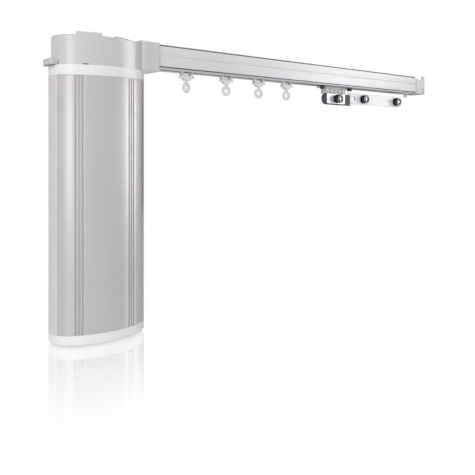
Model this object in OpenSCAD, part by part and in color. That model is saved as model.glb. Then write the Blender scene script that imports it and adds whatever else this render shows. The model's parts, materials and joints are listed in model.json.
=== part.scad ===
// Electric curtain track: a hanging oval motor turns a toothed belt inside an aluminium track,
// and the belt draws a carrier with an overlap arm along it. Runners with eyelets follow.
// X runs along the track away from the motor, Y points to the wall, Z is up.
// The origin is on the ceiling, above the motor's shaft. Sizes are in millimetres.

/* [Motor body] */
// Width of the oval body along the track
motor_w = 95; // [92:0.5:100]
// Depth of the oval body from front to back
motor_d = 58.7; // [57:0.1:62]
// Radius of the oval's two ends
motor_end_r = 23.5; // [22:0.5:25]
// Height of the fluted front panel
panel_h = 235.4; // [225:0.1:260]
// Height of the white collar above the panel
collar_h = 9.6; // [9:0.1:14]
// Height of the bottom cap
cap_h = 10.2; // [9.5:0.1:14]
// Radius of the cap's lower edge
cap_edge_r = 4; // [2:0.5:4.5]
// Wall of the rear shell, collar and cap
shell_wall = 2.2; // [2:0.1:2.6]
// Wall of the extruded front panel
panel_wall = 1.8; // [1.6:0.1:2.4]
// Distance of the panel's two side edges in front of the shaft
panel_edge_y = 9.4; // [8:0.2:12]
// Radius of one flute
flute_r = 0.8; // [0.6:0.05:0.9]
// How far a flute's middle lies inside the panel's face
flute_sink = 0.4; // [0.2:0.05:0.5]
// Distance of the left flutes' middle from the shaft
flute_left_x = 30.3; // [28:0.1:31]
// Distance of the right flutes' middle from the shaft
flute_right_x = 21.4; // [20:0.1:26]
// Pitch of the flutes
flute_pitch = 2.9; // [2.4:0.1:3.2]

/* [Drive head] */
// How far the head stands inside the motor's outline
head_inset = 2.2; // [1.5:0.1:3]
// Height of the head
head_h = 27.4; // [27.4:0.1:30]
// Wall of the head
head_wall = 2; // [1.8:0.1:2.4]
// Thickness of the head's top
head_roof = 2.2; // [2:0.1:2.4]
// Step at the head's top edge
head_edge = 0.8; // [0.4:0.1:1]
// Width of the notch for parting the motor from the head
notch_w = 4.6; // [3:0.2:6]
// Height of the notch
notch_h = 1.1; // [0.6:0.1:1.4]
// Distance of the notch from the shaft
notch_x = 24; // [20:0.5:28]

/* [Lands on the head's front edge] */
// Depth of the lands from front to back
land_d = 2.6; // [2:0.1:3]
// Distance of the long land's near end from the shaft
land_back = 32.2; // [31:0.1:33]
// Length of the long land
land_l = 22.8; // [21:0.1:24]
// Height of the long land
land_h = 2.6; // [2:0.1:3]
// Distance of the short land's near end from the shaft
short_land_x = 4.2; // [3:0.1:6]
// Length of the short land
short_land_l = 8.2; // [7:0.1:9]
// Height of the short land
short_land_h = 1; // [0.6:0.1:1.6]

/* [Ceiling bracket] */
// Height from the head's top to the ceiling
bracket_h = 3.6; // [3.6:0.1:5]
// Length of the bracket along the track
bracket_l = 52.5; // [52:0.5:56]
// Distance of the bracket's near end from the shaft
bracket_back = 24; // [22:0.5:26]
// Depth of the bracket
bracket_d = 18; // [16:0.5:22]
// Length of the long block
bracket_block_l = 27; // [25:0.5:30]
// Length of the short pad
bracket_pad_l = 10; // [9.4:0.2:12]
// Thickness of the plate between them
bracket_plate = 1.6; // [1.2:0.1:2]
// Radius of the two ceiling screw holes
bracket_hole_r = 2.25; // [2:0.05:2.6]
// Radius of the recess for a screw's head
bracket_head_r = 4.2; // [4:0.1:4.4]
// Length of the screw holes' narrow part
bracket_hole_l = 2; // [1.8:0.1:2.2]

/* [Track] */
// Width of the track
track_w = 23; // [23:0.1:24]
// Height of the track
track_h = 24.4; // [24.4:0.1:25]
// Distance from the ceiling to the track's top
track_drop = 1.6; // [1.6:0.1:2.2]
// Length of the track
track_l = 464.6; // [460:0.2:560]
// Wall of the track's sides
track_wall = 1.3; // [1.2:0.05:1.4]
// Thickness of the top flanges, web, ledges and lower flanges
track_flange = 1.2; // [1:0.05:1.4]
// Width of the slot that takes ceiling clips
clip_slot_w = 9; // [8:0.5:11]
// Depth of the web below the track's top
web_depth = 4.2; // [4:0.1:4.4]
// Depth of the belt ledges below the track's top
ledge_depth = 14.5; // [14.4:0.1:14.8]
// Half the opening between the belt ledges
ledge_y = 6.8; // [6.6:0.1:7]
// Width of the slot that the runners hang through
runner_slot_w = 7.2; // [6.8:0.1:7.8]
// Height of the lines sunk into the track's face
face_line_h = 1.2; // [0.9:0.1:1.3]
// Depth of the lines at the top and bottom of the face
face_line_d = 1.8; // [1.4:0.1:2]
// Depth of the fine line along the middle of the face
mid_line_d = 0.4; // [0.2:0.1:0.6]
// Thickness of the lip above the upper line
top_lip = 0.4; // [0.3:0.1:0.6]

/* [Sleeve] */
// Length of the sleeve between head and track
sleeve_l = 21.3; // [20:0.1:26]
// Side wall of the sleeve
sleeve_wall = 1.5; // [1.2:0.1:2]
// Wall of the sleeve above the track
sleeve_roof = 1; // [0.8:0.1:1.1]
// Wall of the sleeve below the track
sleeve_floor = 3.2; // [2.4:0.1:3.6]
// Length of track inside the sleeve
sleeve_hold = 15.8; // [12:0.2:16]
// Width and height of the rims at the sleeve's two ends
sleeve_rim = 0.5; // [0.3:0.1:0.5]

/* [Belt and pulleys] */
// Pitch of the belt's teeth
belt_pitch = 5; // [5:5]
// Number of teeth on each pulley
pulley_teeth = 10; // [10:10]
// Thickness of the belt without its teeth
belt_t = 1.2; // [1:0.05:1.3]
// Height of a belt tooth
tooth_h = 1.1; // [0.9:0.05:1.2]
// Width of a belt tooth
tooth_w = 2.4; // [2:0.1:2.7]
// Height of the belt
belt_h = 8.4; // [8:0.1:8.4]
// Depth of the belt's upper edge below the track's top
belt_depth = 5.8; // [5.7:0.1:6]
// Distance from the pulleys' tips to the belt
belt_gap = 0.35; // [0.3:0.01:0.4]
// Thickness of the pulleys' flanges
pulley_flange = 0.9; // [0.8:0.05:1]
// Distance from a flange to the belt's edge
flange_gap = 0.4; // [0.35:0.01:0.45]
// How far the flanges stand out beyond the belt
flange_over = 0.7; // [0.5:0.05:0.8]
// Radius of the drive pulley's hub
hub_r = 6; // [5.6:0.1:6.5]
// Radius of the stub that runs in the head's top
stub_r = 3; // [2.5:0.1:3.5]
// Radial clearance of the running fits
run_gap = 0.06; // [0.04:0.01:0.09]
// Width across the flats of the shaft's hexagon
hex_w = 7; // [6:0.1:7.4]
// Radius of the output shaft
shaft_r = 4; // [3.8:0.1:4.4]
// Radius of the return pulley's axle
axle_r = 2; // [1.8:0.1:2.4]

/* [End housing] */
// Length of the end housing
end_l = 20.4; // [20.4:0.2:26]
// Thickness of the housing's end wall and of the post on its front edge
end_plate = 3.6; // [3:0.1:3.6]
// How far the end housing's top lies below the track's top
end_step = 2.9; // [2.6:0.1:3.2]
// Depth of the post from front to back
end_post_d = 3; // [2.4:0.1:4]
// How far the post rises above the track's top
end_rise = 1.5; // [0.5:0.1:1.6]
// Walls of the end housing
end_wall = 1.8; // [1.6:0.1:1.9]
// Distance from the track's end to the return pulley
return_in = 6.2; // [6:0.1:6.4]
// Length of the tongue inside the track's clip slot
tongue_l = 12; // [8:0.5:20]

/* [Carrier] */
// Distance from the shaft to the carrier's middle
carrier_x = 341; // [330:1:360]
// Length of the carrier's plate
carrier_plate_l = 55; // [54:0.5:57]
// Width of the carrier's plate
carrier_plate_w = 8; // [7.6:0.1:9]
// Thickness of the carrier's plate
carrier_plate_h = 2.4; // [2.2:0.1:2.8]
// Gap between the track and the carrier's plate
carrier_gap = 0.6; // [0.5:0.1:1]
// Length of the ribbed block below the plate
carrier_block_l = 38; // [36:1:42]
// Width of the ribbed block
carrier_block_w = 9; // [8:0.5:10]
// Height of the ribbed block
carrier_block_h = 7; // [6:0.5:8]
// Number of grooves between the ribs
rib_grooves = 4; // [3:1:5]
// Width of a groove
rib_groove_w = 3; // [2:0.5:4]
// Depth of a groove
rib_groove_d = 1; // [0.6:0.1:1.4]
// Distance of the wheel axles from the carrier's middle
carrier_wheel_x = 25; // [23:0.5:26]
// Distance of a black buffer pad from the carrier's middle
pad_x = 26.5; // [26:0.1:27]
// Length of a pad
pad_l = 6; // [5:0.2:7]
// Height of a pad
pad_h = 4; // [3.4:0.1:4.4]
// How far a pad stands out from the plate's front edge
pad_out = 3.1; // [2.4:0.1:3.4]

/* [Arm holder and arm] */
// Thickness of the sheet steel
sheet_t = 1.5; // [1.2:0.1:1.8]
// Length of the black arm holder
holder_l = 53.5; // [52:0.5:55]
// Height of the arm holder
holder_h = 14.2; // [14.2:0.1:15]
// Distance of the arm holder's front face from the track's middle
holder_y = 8.5; // [8:0.1:9]
// Thickness of the arm holder's front wall
holder_d = 3; // [2.4:0.1:3.4]
// Distance of the arm holder's rounded end from the carrier's middle
holder_x = 29.5; // [29:0.1:30]
// Width of the bright front plate
front_plate_w = 34.8; // [34:0.2:36]
// Height of the front plate
front_plate_h = 12.6; // [12:0.1:13]
// Distance of the front plate's near edge from the holder's rounded end
front_plate_in = 6; // [5:0.1:7]
// Gap between the tops of the holder and the front plate
front_plate_drop = 0.4; // [0.3:0.1:0.8]
// Length of arm held behind the holder
arm_hold = 36; // [35:0.5:40]
// Height of the arm
arm_h = 15; // [13:0.5:16]
// Distance of the arm's far end from the carrier's middle
arm_reach = 139.6; // [130:0.2:146]
// Depth of the arm's upper edge below the track's top
arm_depth = 31; // [31:0.1:33]
// Distance of the near stud from the carrier's middle
stud_near_x = 53.6; // [52:0.2:60]
// Distance of the far stud from the arm's far end
stud_far_in = 13.1; // [12:0.1:24]
// Radius of a stud
stud_r = 5.6; // [5:0.1:6]
// Thickness of a stud's base disc
stud_t = 1.4; // [1:0.1:1.8]
// How far a stud stands out from its sheet
stud_out = 7; // [6.4:0.1:8]
// Radius of the round hole in the arm
arm_hole_r = 3; // [2:0.1:3.4]
// Distance of the round hole from the carrier's middle
arm_hole_x = 34.6; // [34:0.2:36]

/* [Runners] */
// Distance of the first runner from the shaft
runner_1_x = 104.8; // [100:0.2:110]
// Distance of the second runner from the shaft
runner_2_x = 159.6; // [152:0.2:165]
// Distance of the third runner from the shaft
runner_3_x = 208.9; // [202:0.2:214]
// Distance of the fourth runner from the shaft
runner_4_x = 254.7; // [248:0.2:260]
// Turn of the first eyelet
eyelet_1_turn = 15; // [-30:1:30]
// Turn of the second eyelet
eyelet_2_turn = -6; // [-30:1:30]
// Turn of the third eyelet
eyelet_3_turn = -10; // [-30:1:30]
// Turn of the fourth eyelet
eyelet_4_turn = -6; // [-30:1:30]
// Length of a runner across its legs
runner_l = 14.8; // [14.4:0.1:16]
// Thickness of a leg along the track
leg_t = 3.2; // [3:0.1:3.6]
// Thickness of a runner across the track
runner_t = 4.8; // [4.2:0.1:5.2]
// Length of a runner across its ears
ear_l = 18.4; // [17.6:0.2:19]
// Radius of the wheels
wheel_r = 3.5; // [3.3:0.05:3.55]
// Thickness of a wheel
wheel_t = 2.6; // [2.2:0.1:3]
// Distance of a wheel's inner face from the track's middle
wheel_in = 4.6; // [4.4:0.1:4.8]
// Gap between a wheel and the flange that it runs on
wheel_gap = 0.3; // [0.25:0.01:0.35]
// Radius of the wheels' axles
wheel_axle_r = 1; // [0.9:0.05:1.1]
// Outer radius of an eyelet
eyelet_r = 5.75; // [5.2:0.05:6]
// Radius of an eyelet's hole
eyelet_hole_r = 2.4; // [2:0.05:2.6]
// Thickness of an eyelet
eyelet_t = 3.2; // [2.8:0.1:3.4]
// Radius of an eyelet's rounded edges
eyelet_edge_r = 1.1; // [0.8:0.05:1.2]
// Depth of an eyelet's middle below the track's top
eyelet_depth = 40.6; // [40.4:0.1:42]
// Radius of an eyelet's shank
shank_r = 1.75; // [1.5:0.05:1.9]
// Radius of the head that holds the shank
shank_head_r = 2.8; // [2.5:0.1:3]

/* [Lock slide and button] */
// Half width of the tab
tab_y = 8.5; // [8:0.1:9]
// How far the tab stands out from the shaft's middle
tab_x = 52; // [51:0.2:54]
// Height of the tab
tab_h = 5.2; // [4.8:0.1:5.4]
// Half width of the sliding plate
lock_y = 12; // [11:0.2:12]
// Thickness of the sliding plate
lock_t = 2.5; // [2.2:0.1:2.6]
// Radius of the motor's spigot
spigot_r = 12; // [11.6:0.1:12.4]
// Radius at the bottom of the spigot's groove
spigot_neck_r = 9.5; // [9:0.1:9.8]
// Gap around the lock and the catch
lock_gap = 0.35; // [0.3:0.01:0.45]
// Radius of the setting button
button_r = 3; // [2.4:0.1:3.4]

/* [Hidden] */
$fn = 72;
eps = 0.02;
far = 400;
over = 1;
fit_gap = 0.1;
oval_blend = 0.05;

motor_a = motor_w / 2;
motor_b = motor_d / 2;
head_top = -bracket_h;
head_bottom = head_top - head_h;
collar_bottom = head_bottom - collar_h;
panel_bottom = collar_bottom - panel_h;
motor_bottom = panel_bottom - cap_h;
head_in = head_inset + head_wall;

track_top = -track_drop;
track_bottom = track_top - track_h;
track_y = track_w / 2;
track_in_y = track_y - track_wall;
sleeve_bite = 4.8;
sleeve_x = motor_a - head_inset - sleeve_bite;
sleeve_end = sleeve_x + sleeve_l;
track_x = sleeve_end - sleeve_hold;
track_end = track_x + track_l;
face_bottom = track_h - track_flange - face_line_h;
mid_line_depth = track_h * 0.46;
low_wall = face_line_d + track_wall;
slot_y = runner_slot_w / 2;

pitch_r = belt_pitch * pulley_teeth / (2 * PI);
belt_in_r = pitch_r - belt_t / 4;
belt_out_r = belt_in_r + belt_t;
pulley_tip_r = belt_in_r - belt_gap;
pulley_flange_r = belt_out_r + flange_over;
tooth_cut_r = 1.35;
tongue_over = 2;
belt_top = track_top - belt_depth;
belt_low = belt_top - belt_h;
teeth_top = belt_top + flange_gap;
teeth_low = belt_low - flange_gap;
flange_top = teeth_top + pulley_flange;
flange_low = teeth_low - pulley_flange;
return_x = track_end + return_in;
tooth_taper = 0.7;
tooth_start = 15;
tooth_count = floor((return_x - 2 * tooth_start) / belt_pitch);

base_drop = 2.2;
base_top = flange_low - base_drop;
base_t = 3;
base_low = base_top - base_t;
bearing_r = 9;
bearing_lip_r = 9.8;
boss_r = 3.6;
boss_x = 33;
boss_y = 11;
screw_r = 1.45;
screw_hole_r = 1.5;
screw_head_r = 2.8;
screw_head_h = 1.7;
screw_l = 10;

lock_lift = 0.2;
lock_top = head_bottom + lock_lift + tab_h;
lock_low = lock_top - lock_t;
groove_gap = 0.3;
lock_end_x = 3;
lock_wide_x = 33.2;
rail_in = 10.6;
rail_out = 14.6;
rail_x = 28;
rail_l = 14;
catch_out = 17;
catch_y = 8;
tab_root_in = 0.6;
tab_root_x = motor_a - head_inset - tab_root_in;
tab_edge_r = 3;
tab_lip = 1;
slot_gap = 0.4;

deck_t = 4;
deck_low = head_bottom - deck_t;
spigot_gap = 0.6;
spigot_top = base_low - spigot_gap;
spigot_bore_r = shaft_r + over;
gearbox_r = 22;
gearbox_h = 50;
gearbox_groove = 1;
gearbox_low = deck_low - gearbox_h;
motor_r = 20;
motor_l = 118;
motor_low = gearbox_low - motor_l;
motor_boss_r = 6;
motor_boss_h = 5;
flange_screw_x = 5.5;
flange_screw_y = 15.2;
flange_screw_l = 12;
ring_out_r = 24.4;
ring_h = 8;
ring_in = 20;
ring_z = [gearbox_low - ring_in, motor_low + ring_in];
shell_rib_t = 6;
shaft_in = 24;
shaft_low = deck_low - shaft_in;
hex_in = 3;
hex_top = belt_low + hex_in;
hex_step = 0.4;
hex_low = base_low - hex_step;
socket_step = 0.3;
socket_low = base_low + socket_step;
socket_deep = 0.5;
socket_h = hex_top - socket_low + socket_deep;
hex_gap = 0.05;

board_x = 31;
board_t = 1.6;
board_y = 18;
board_up = 16;
board_down = 28;
board_top = gearbox_low + board_up;
board_low = motor_low - board_down;
board_rail = 2.2;
transformer_h = 9;
transformer_w = 18;
relay_h = 8;
relay_w = 14;
capacitor_r = 5;
capacitor_h = 9;
capacitor_y = 6;
plug_h = 8;
plug_w = 16;
cap_floor = 2.4;
cap_boss_x = 35;
cap_boss_y = 13;
cap_boss_r = 4.5;
cap_boss_h = 22;
cap_screw_l = 16;
cap_head_r = 3;
inlet_y = 8;
inlet_w = 20;
inlet_d = 13;
inlet_h = 14;
inlet_lip = 2;
inlet_hole_w = 16.4;
inlet_hole_d = 8.6;
inlet_hole_h = 10;
inlet_pin_r = 1.2;
inlet_pin_x = 4.8;
inlet_pin_h = 8;
button_x = 24;
button_sunk = 0.4;
button_lip_r = 4.6;
button_lip_h = 1.2;
button_gap = 0.3;

wheel_z = track_bottom + track_flange + wheel_gap + wheel_r;
leg_x = runner_l / 2 - leg_t / 2;
wheel_hub_r = 1.8;
wheel_hub_l = 0.6;
leg_over = 2;
leg_top = wheel_z + leg_over;
web_gap = 3.4;
web_h = 1.8;
web_top = track_bottom - web_gap;
web_low = web_top - web_h;
ear_t = 1.6;
ear_w = 3.2;
funnel_h = 3.6;
funnel_low = web_low - funnel_h;
funnel_w = 5.8;
eyelet_z = track_top - eyelet_depth;
shank_head_h = 0.8;
beam_y = 3.2;
neck_y = 2.6;
neck_l = 40;
beam_l = 60;
beam_gap = 0.6;
beam_top = track_top - ledge_depth - track_flange - beam_gap;
beam_low = track_bottom + track_flange + beam_gap - fit_gap;
tower_l = 32;
tower_y = 5.6;
tower_gap = 0.8;
tower_top = track_top - web_depth - track_flange - tower_gap;
clamp_t = 2.6;
clamp_l = 28;
clamp_gap = 0.35;
clamp_front = belt_in_r - tooth_h - clamp_gap;
clamp_lift = 0.4;
clamp_low = track_top - ledge_depth + clamp_lift;
clamp_screw_z = (tower_top + clamp_low) / 2;
clamp_grooves = 5;
clamp_screw_x = 9;
clamp_screw_r = 1.2;
clamp_head_r = 2.2;
clamp_head_h = 1.8;
clamp_head_y = tower_y - clamp_head_h - 2 * fit_gap;
clamp_hole_end = tooth_h + 3 * fit_gap;
clamp_screw_end = tooth_h + 5 * fit_gap;
plate_top = track_bottom - carrier_gap;
plate_low = plate_top - carrier_plate_h;
block_low = plate_low - carrier_block_h;
pad_root = 1;
pad_back = carrier_plate_w / 2 - pad_root;
holder_near = carrier_x - holder_x;
holder_far = holder_near + holder_l;
holder_low = block_low - holder_h;
holder_flange = 2;
holder_flange_x = 14;
arm_y = holder_y - holder_d;
arm_hold_top = block_low - holder_flange - fit_gap;
front_near = holder_near + front_plate_in;
front_top = block_low - front_plate_drop;
front_stud_off = 1;
front_stud_x = front_near + front_plate_w / 2 + front_stud_off;
front_stud_z = front_top - front_plate_h / 2;
plate_edge_r = 1.5;
arm_near = holder_far - arm_hold;
arm_z = track_top - arm_depth - arm_h / 2;
arm_low = arm_z - arm_h / 2;
stud_neck_r = 4;
stud_neck_h = 1.4;
stud_cup_r = 3.9;
stud_cup_d = 2.4;
stud_pin_r = 1.8;
stud_pin_in = 0.8;
stud_hole_r = 2;
stud_back = 1.2;
stud_back_r = 3;
stud_far_x = arm_reach - stud_far_in;
end_top = track_top - end_step;
end_low = track_bottom - fit_gap;
end_out = 0.5;
end_y = track_y + end_out;
end_gap = 0.3;
stop_in = 10.6;
stop_x = track_end - stop_in;
stop_l = 12;
stop_y = 6.4;
stop_ring_r = 3;
stop_ring_hole_r = 1.5;
stop_ring_t = 3;
stop_ring_drop = 2.9;
stop_ring_z = track_bottom - stop_ring_drop;
stop_h = 5;
stop_out = 0.6;

// Radius of the oval's long front and back arcs, which cross its end arcs almost at a tangent
function oval_arc_r(a, b, r) =
    let (near_r = r - oval_blend)
    ((a - r) * (a - r) + b * b - near_r * near_r) / (2 * (b - near_r));

// Distance of the oval's front face from the shaft's plane at x
function front_y(x) =
    let (big_r = oval_arc_r(motor_a, motor_b, motor_end_r))
    sqrt(big_r * big_r - x * x) - big_r + motor_b;

// The motor's outline drawn inwards by inset, made of four arcs
module oval(inset) {
    a = motor_a - inset;
    b = motor_b - inset;
    r = motor_end_r - inset;
    big_r = oval_arc_r(a, b, r);
    centre_x = a - r;
    centre_y = big_r - b;
    meet_x = centre_x + r * sin(atan2(centre_x, centre_y));
    intersection() {
        translate([0, centre_y]) circle(big_r);
        translate([0, -centre_y]) circle(big_r);
        square([2 * meet_x, 4 * b], center = true);
    }
    for (side = [-1, 1]) translate([side * centre_x, 0]) circle(r);
}

module oval_slab(inset, low, top) {
    translate([0, 0, low]) linear_extrude(top - low) oval(inset);
}

module box(x0, x1, y0, y1, z0, z1) {
    translate([x0, y0, z0]) cube([x1 - x0, y1 - y0, z1 - z0]);
}

module post(x, y, r, z0, z1) {
    translate([x, y, z0]) cylinder(r = r, h = z1 - z0);
}

// A shape drawn in X and Z, given thickness between two Y planes
module side_slab(y0, y1) {
    translate([0, y1, 0]) rotate([90, 0, 0]) linear_extrude(y1 - y0) children();
}

// A round bar along Y
module cross_bar(x, z, r, y0, y1) {
    translate([x, y1, z]) rotate([90, 0, 0]) cylinder(r = r, h = y1 - y0);
}

module ceiling_bracket() {
    x0 = -bracket_back;
    x1 = x0 + bracket_l;
    holes = [x0 + bracket_block_l / 2, x1 - bracket_pad_l / 2];
    color("silver") difference() {
        union() {
            box(x0, x1, -bracket_d / 2, bracket_d / 2, head_top, head_top + bracket_plate);
            box(x0, x0 + bracket_block_l, -bracket_d / 2, bracket_d / 2, head_top, 0);
            box(x1 - bracket_pad_l, x1, -bracket_d / 2, bracket_d / 2, head_top, 0);
        }
        for (x = holes) {
            post(x, 0, bracket_hole_r, head_top - over, over);
            post(x, 0, bracket_head_r, head_top - over, -bracket_hole_l);
        }
    }
}

// A land raised along the head's front edge
module head_land(x, l, h) {
    low = head_top - head_edge;
    top = head_top + h;
    intersection() {
        difference() {
            oval_slab(head_inset, low, top);
            oval_slab(head_inset + land_d, low - over, top + over);
        }
        box(x, x + l, -far, 0, low, top);
    }
}

module drive_housing() {
    roof_low = head_top - head_roof;
    color("lightgrey") difference() {
        union() {
            difference() {
                union() {
                    oval_slab(head_inset, head_bottom, head_top - head_edge);
                    oval_slab(head_inset + head_edge, head_bottom, head_top);
                }
                oval_slab(head_in, head_bottom - over, roof_low);
            }
            for (x = [-boss_x, boss_x], y = [-boss_y, boss_y]) post(x, y, boss_r, base_top, roof_low + eps);
            head_land(-land_back, land_l, land_h);
            head_land(short_land_x, short_land_l, short_land_h);
        }
        for (x = [-boss_x, boss_x], y = [-boss_y, boss_y])
            post(x, y, screw_hole_r, base_top - over, base_top + screw_l);
        post(0, 0, stub_r + run_gap, roof_low - over, head_top - head_roof / 2);
        box(motor_a - motor_end_r, far, -track_in_y, track_in_y, flange_low, roof_low);
        box(-far, -motor_a + motor_end_r / 2, -tab_y - slot_gap, tab_y + slot_gap,
            head_bottom - over, lock_top + slot_gap);
        box(-notch_x - notch_w / 2, -notch_x + notch_w / 2, -motor_d, 0,
            head_bottom - over, head_bottom + notch_h);
    }
}

module housing_base() {
    neck_r = spigot_neck_r + lock_gap;
    color("grey") difference() {
        union() {
            oval_slab(head_in + fit_gap, base_low, base_top);
            for (side = [0, 1]) mirror([0, side, 0])
                box(-rail_x, -rail_x + rail_l, rail_in, rail_out, head_bottom + fit_gap, base_low + eps);
            box(0, catch_out, -catch_y, catch_y, lock_low, base_low + eps);
        }
        post(0, 0, bearing_r, base_low - over, base_top + over);
        post(0, 0, spigot_r + lock_gap, lock_top + groove_gap, base_low);
        post(0, 0, neck_r, head_bottom, base_low);
        box(-catch_y, spigot_neck_r / 2, -catch_y - over, catch_y + over, head_bottom, base_low);
        box(-rail_x - over, -rail_x + rail_l + over, -lock_y - groove_gap, lock_y + groove_gap,
            lock_low - groove_gap, lock_top + groove_gap);
        for (x = [-boss_x, boss_x], y = [-boss_y, boss_y])
            post(x, y, screw_hole_r, base_low - over, base_top + over);
    }
}

module pulley_bearing() {
    lip = base_drop - 2 * fit_gap;
    color("peru") difference() {
        union() {
            post(0, 0, bearing_r, base_low, base_top + eps);
            post(0, 0, bearing_lip_r, base_top, base_top + lip);
        }
        post(0, 0, hub_r + run_gap, base_low - over, base_top + lip + over);
    }
}

// A pan-head screw standing head down below the plane z, with a cross slot in its head
module screw_up(x, y, z, shank_r, shank_l, cap_r, cap_h) {
    slot_w = cap_r / 3;
    slot_d = cap_h / 2;
    translate([x, y, z]) {
        difference() {
            translate([0, 0, -cap_h]) cylinder(r = cap_r, h = cap_h);
            for (turn = [0, 90]) rotate([0, 0, turn])
                box(-cap_r / 2, cap_r / 2, -slot_w / 2, slot_w / 2, -cap_h - over, -cap_h + slot_d);
        }
        translate([0, 0, -eps]) cylinder(r = shank_r, h = shank_l + eps);
    }
}

module housing_screws() {
    color("silver") for (x = [-boss_x, boss_x], y = [-boss_y, boss_y])
        screw_up(x, y, base_low, screw_r, base_t + screw_l - over, screw_head_r, screw_head_h);
}

// The tab's outline, seen from above
module tab_plan() {
    translate([-tab_x + tab_edge_r, -tab_y]) square([tab_x - tab_edge_r - tab_root_x, 2 * tab_y]);
    translate([-tab_x, -tab_y + tab_edge_r]) square([tab_edge_r + eps, 2 * (tab_y - tab_edge_r)]);
    for (side = [-1, 1]) translate([-tab_x + tab_edge_r, side * (tab_y - tab_edge_r)]) circle(tab_edge_r);
}

module lock_slide() {
    tab_low = lock_top - tab_h;
    color("darkgrey") {
        translate([0, 0, lock_low]) linear_extrude(lock_t) difference() {
            union() {
                translate([-lock_wide_x, -lock_y]) square([lock_wide_x - lock_end_x, 2 * lock_y]);
                translate([-tab_x + tab_edge_r, -tab_y]) square([tab_x - tab_edge_r - lock_end_x, 2 * tab_y]);
            }
            circle(spigot_neck_r + lock_gap);
        }
        translate([0, 0, tab_low]) linear_extrude(tab_h) tab_plan();
        difference() {
            translate([0, 0, tab_low - tab_lip]) linear_extrude(tab_lip + eps) tab_plan();
            box(-motor_a - slot_gap, far, -far, far, tab_low - far, tab_low);
        }
    }
}

// Toothed rim of a belt pulley between two heights
module pulley_rim(low, top) {
    translate([0, 0, low]) linear_extrude(top - low) difference() {
        circle(pulley_tip_r);
        for (tooth = [0 : pulley_teeth - 1]) rotate(tooth * 360 / pulley_teeth)
            translate([pulley_tip_r + tooth_cut_r / 6, 0]) circle(tooth_cut_r);
    }
}

module drive_pulley() {
    color("whitesmoke") difference() {
        union() {
            pulley_rim(teeth_low - eps, teeth_top + eps);
            post(0, 0, pulley_flange_r, teeth_top, flange_top);
            post(0, 0, pulley_flange_r, flange_low, teeth_low);
            post(0, 0, hub_r, socket_low, flange_low + eps);
            post(0, 0, stub_r, flange_top - eps, head_top - head_roof / 2 - 2 * fit_gap);
        }
        translate([0, 0, socket_low - over]) rotate([0, 0, 30])
            cylinder(r = (hex_w / 2 + hex_gap) / cos(30), h = socket_h + over, $fn = 6);
    }
}

module output_shaft() {
    color("silver") {
        post(0, 0, shaft_r, shaft_low, hex_low);
        translate([0, 0, hex_low - eps]) rotate([0, 0, 30])
            cylinder(r = hex_w / 2 / cos(30), h = hex_top - hex_low, $fn = 6);
    }
}

module track_sleeve() {
    y = track_y + sleeve_wall;
    top = track_top + sleeve_roof;
    low = track_bottom - sleeve_floor;
    color("lightgrey") difference() {
        union() {
            box(sleeve_x, sleeve_end, -y, y, low, top);
            for (x = [sleeve_x, sleeve_end - 2 * sleeve_rim])
                box(x, x + 2 * sleeve_rim, -y - sleeve_rim, y + sleeve_rim,
                    low - sleeve_rim, top + sleeve_rim);
        }
        oval_slab(head_inset, head_bottom - far, head_top);
        box(track_x, far, -track_y, track_y, track_bottom, track_top);
        box(sleeve_x - over, track_x + over, -track_in_y, track_in_y,
            flange_low, track_top - web_depth - track_flange);
    }
}

// Half of the track's cross-section, drawn with the depth below its top as -Y
module track_half() {
    difference() {
        union() {
            translate([track_in_y, -track_h]) square([track_wall, track_h]);
            translate([clip_slot_w / 2, -track_flange]) square([track_y - clip_slot_w / 2, track_flange]);
            translate([track_y - low_wall, -top_lip - 2 * face_line_h])
                square([low_wall, top_lip + 2 * face_line_h]);
            translate([0, -web_depth - track_flange]) square([track_y, track_flange]);
            translate([ledge_y, -ledge_depth - track_flange]) square([track_y - ledge_y, track_flange]);
            translate([track_y - low_wall, -track_h]) square([low_wall, track_flange + 3 * face_line_h]);
            translate([slot_y, -track_h]) square([track_y - slot_y, track_flange]);
        }
        translate([track_y - face_line_d, -top_lip - face_line_h]) square([face_line_d + over, face_line_h]);
        translate([track_y - mid_line_d, -mid_line_depth]) square([mid_line_d + over, face_line_h / 2]);
        translate([track_y - face_line_d, -face_bottom - face_line_h])
            square([face_line_d + over, face_line_h]);
    }
}

module track() {
    color("gainsboro") translate([track_x, 0, track_top]) rotate([90, 0, 90]) linear_extrude(track_l) {
        track_half();
        mirror([1, 0]) track_half();
    }
}

// The space inside the belt's loop, with the teeth standing into it from both straight runs
module belt_inside() {
    tip = tooth_w * tooth_taper;
    teeth = [for (n = [0 : tooth_count]) let (x = tooth_start + n * belt_pitch) each [
        [x - tooth_w / 2, belt_in_r],
        [x - tip / 2, belt_in_r - tooth_h],
        [x + tip / 2, belt_in_r - tooth_h],
        [x + tooth_w / 2, belt_in_r]
    ]];
    back_run = concat([[0, belt_in_r]], teeth, [[return_x, belt_in_r]]);
    front_run = [for (n = [len(back_run) - 1 : -1 : 0]) [back_run[n][0], -back_run[n][1]]];
    polygon(concat(back_run, front_run));
    circle(belt_in_r);
    translate([return_x, 0]) circle(belt_in_r);
}

module belt() {
    color("dimgrey") translate([0, 0, belt_low]) linear_extrude(belt_h) difference() {
        union() {
            translate([0, -belt_out_r]) square([return_x, 2 * belt_out_r]);
            circle(belt_out_r);
            translate([return_x, 0]) circle(belt_out_r);
        }
        belt_inside();
    }
}

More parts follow.
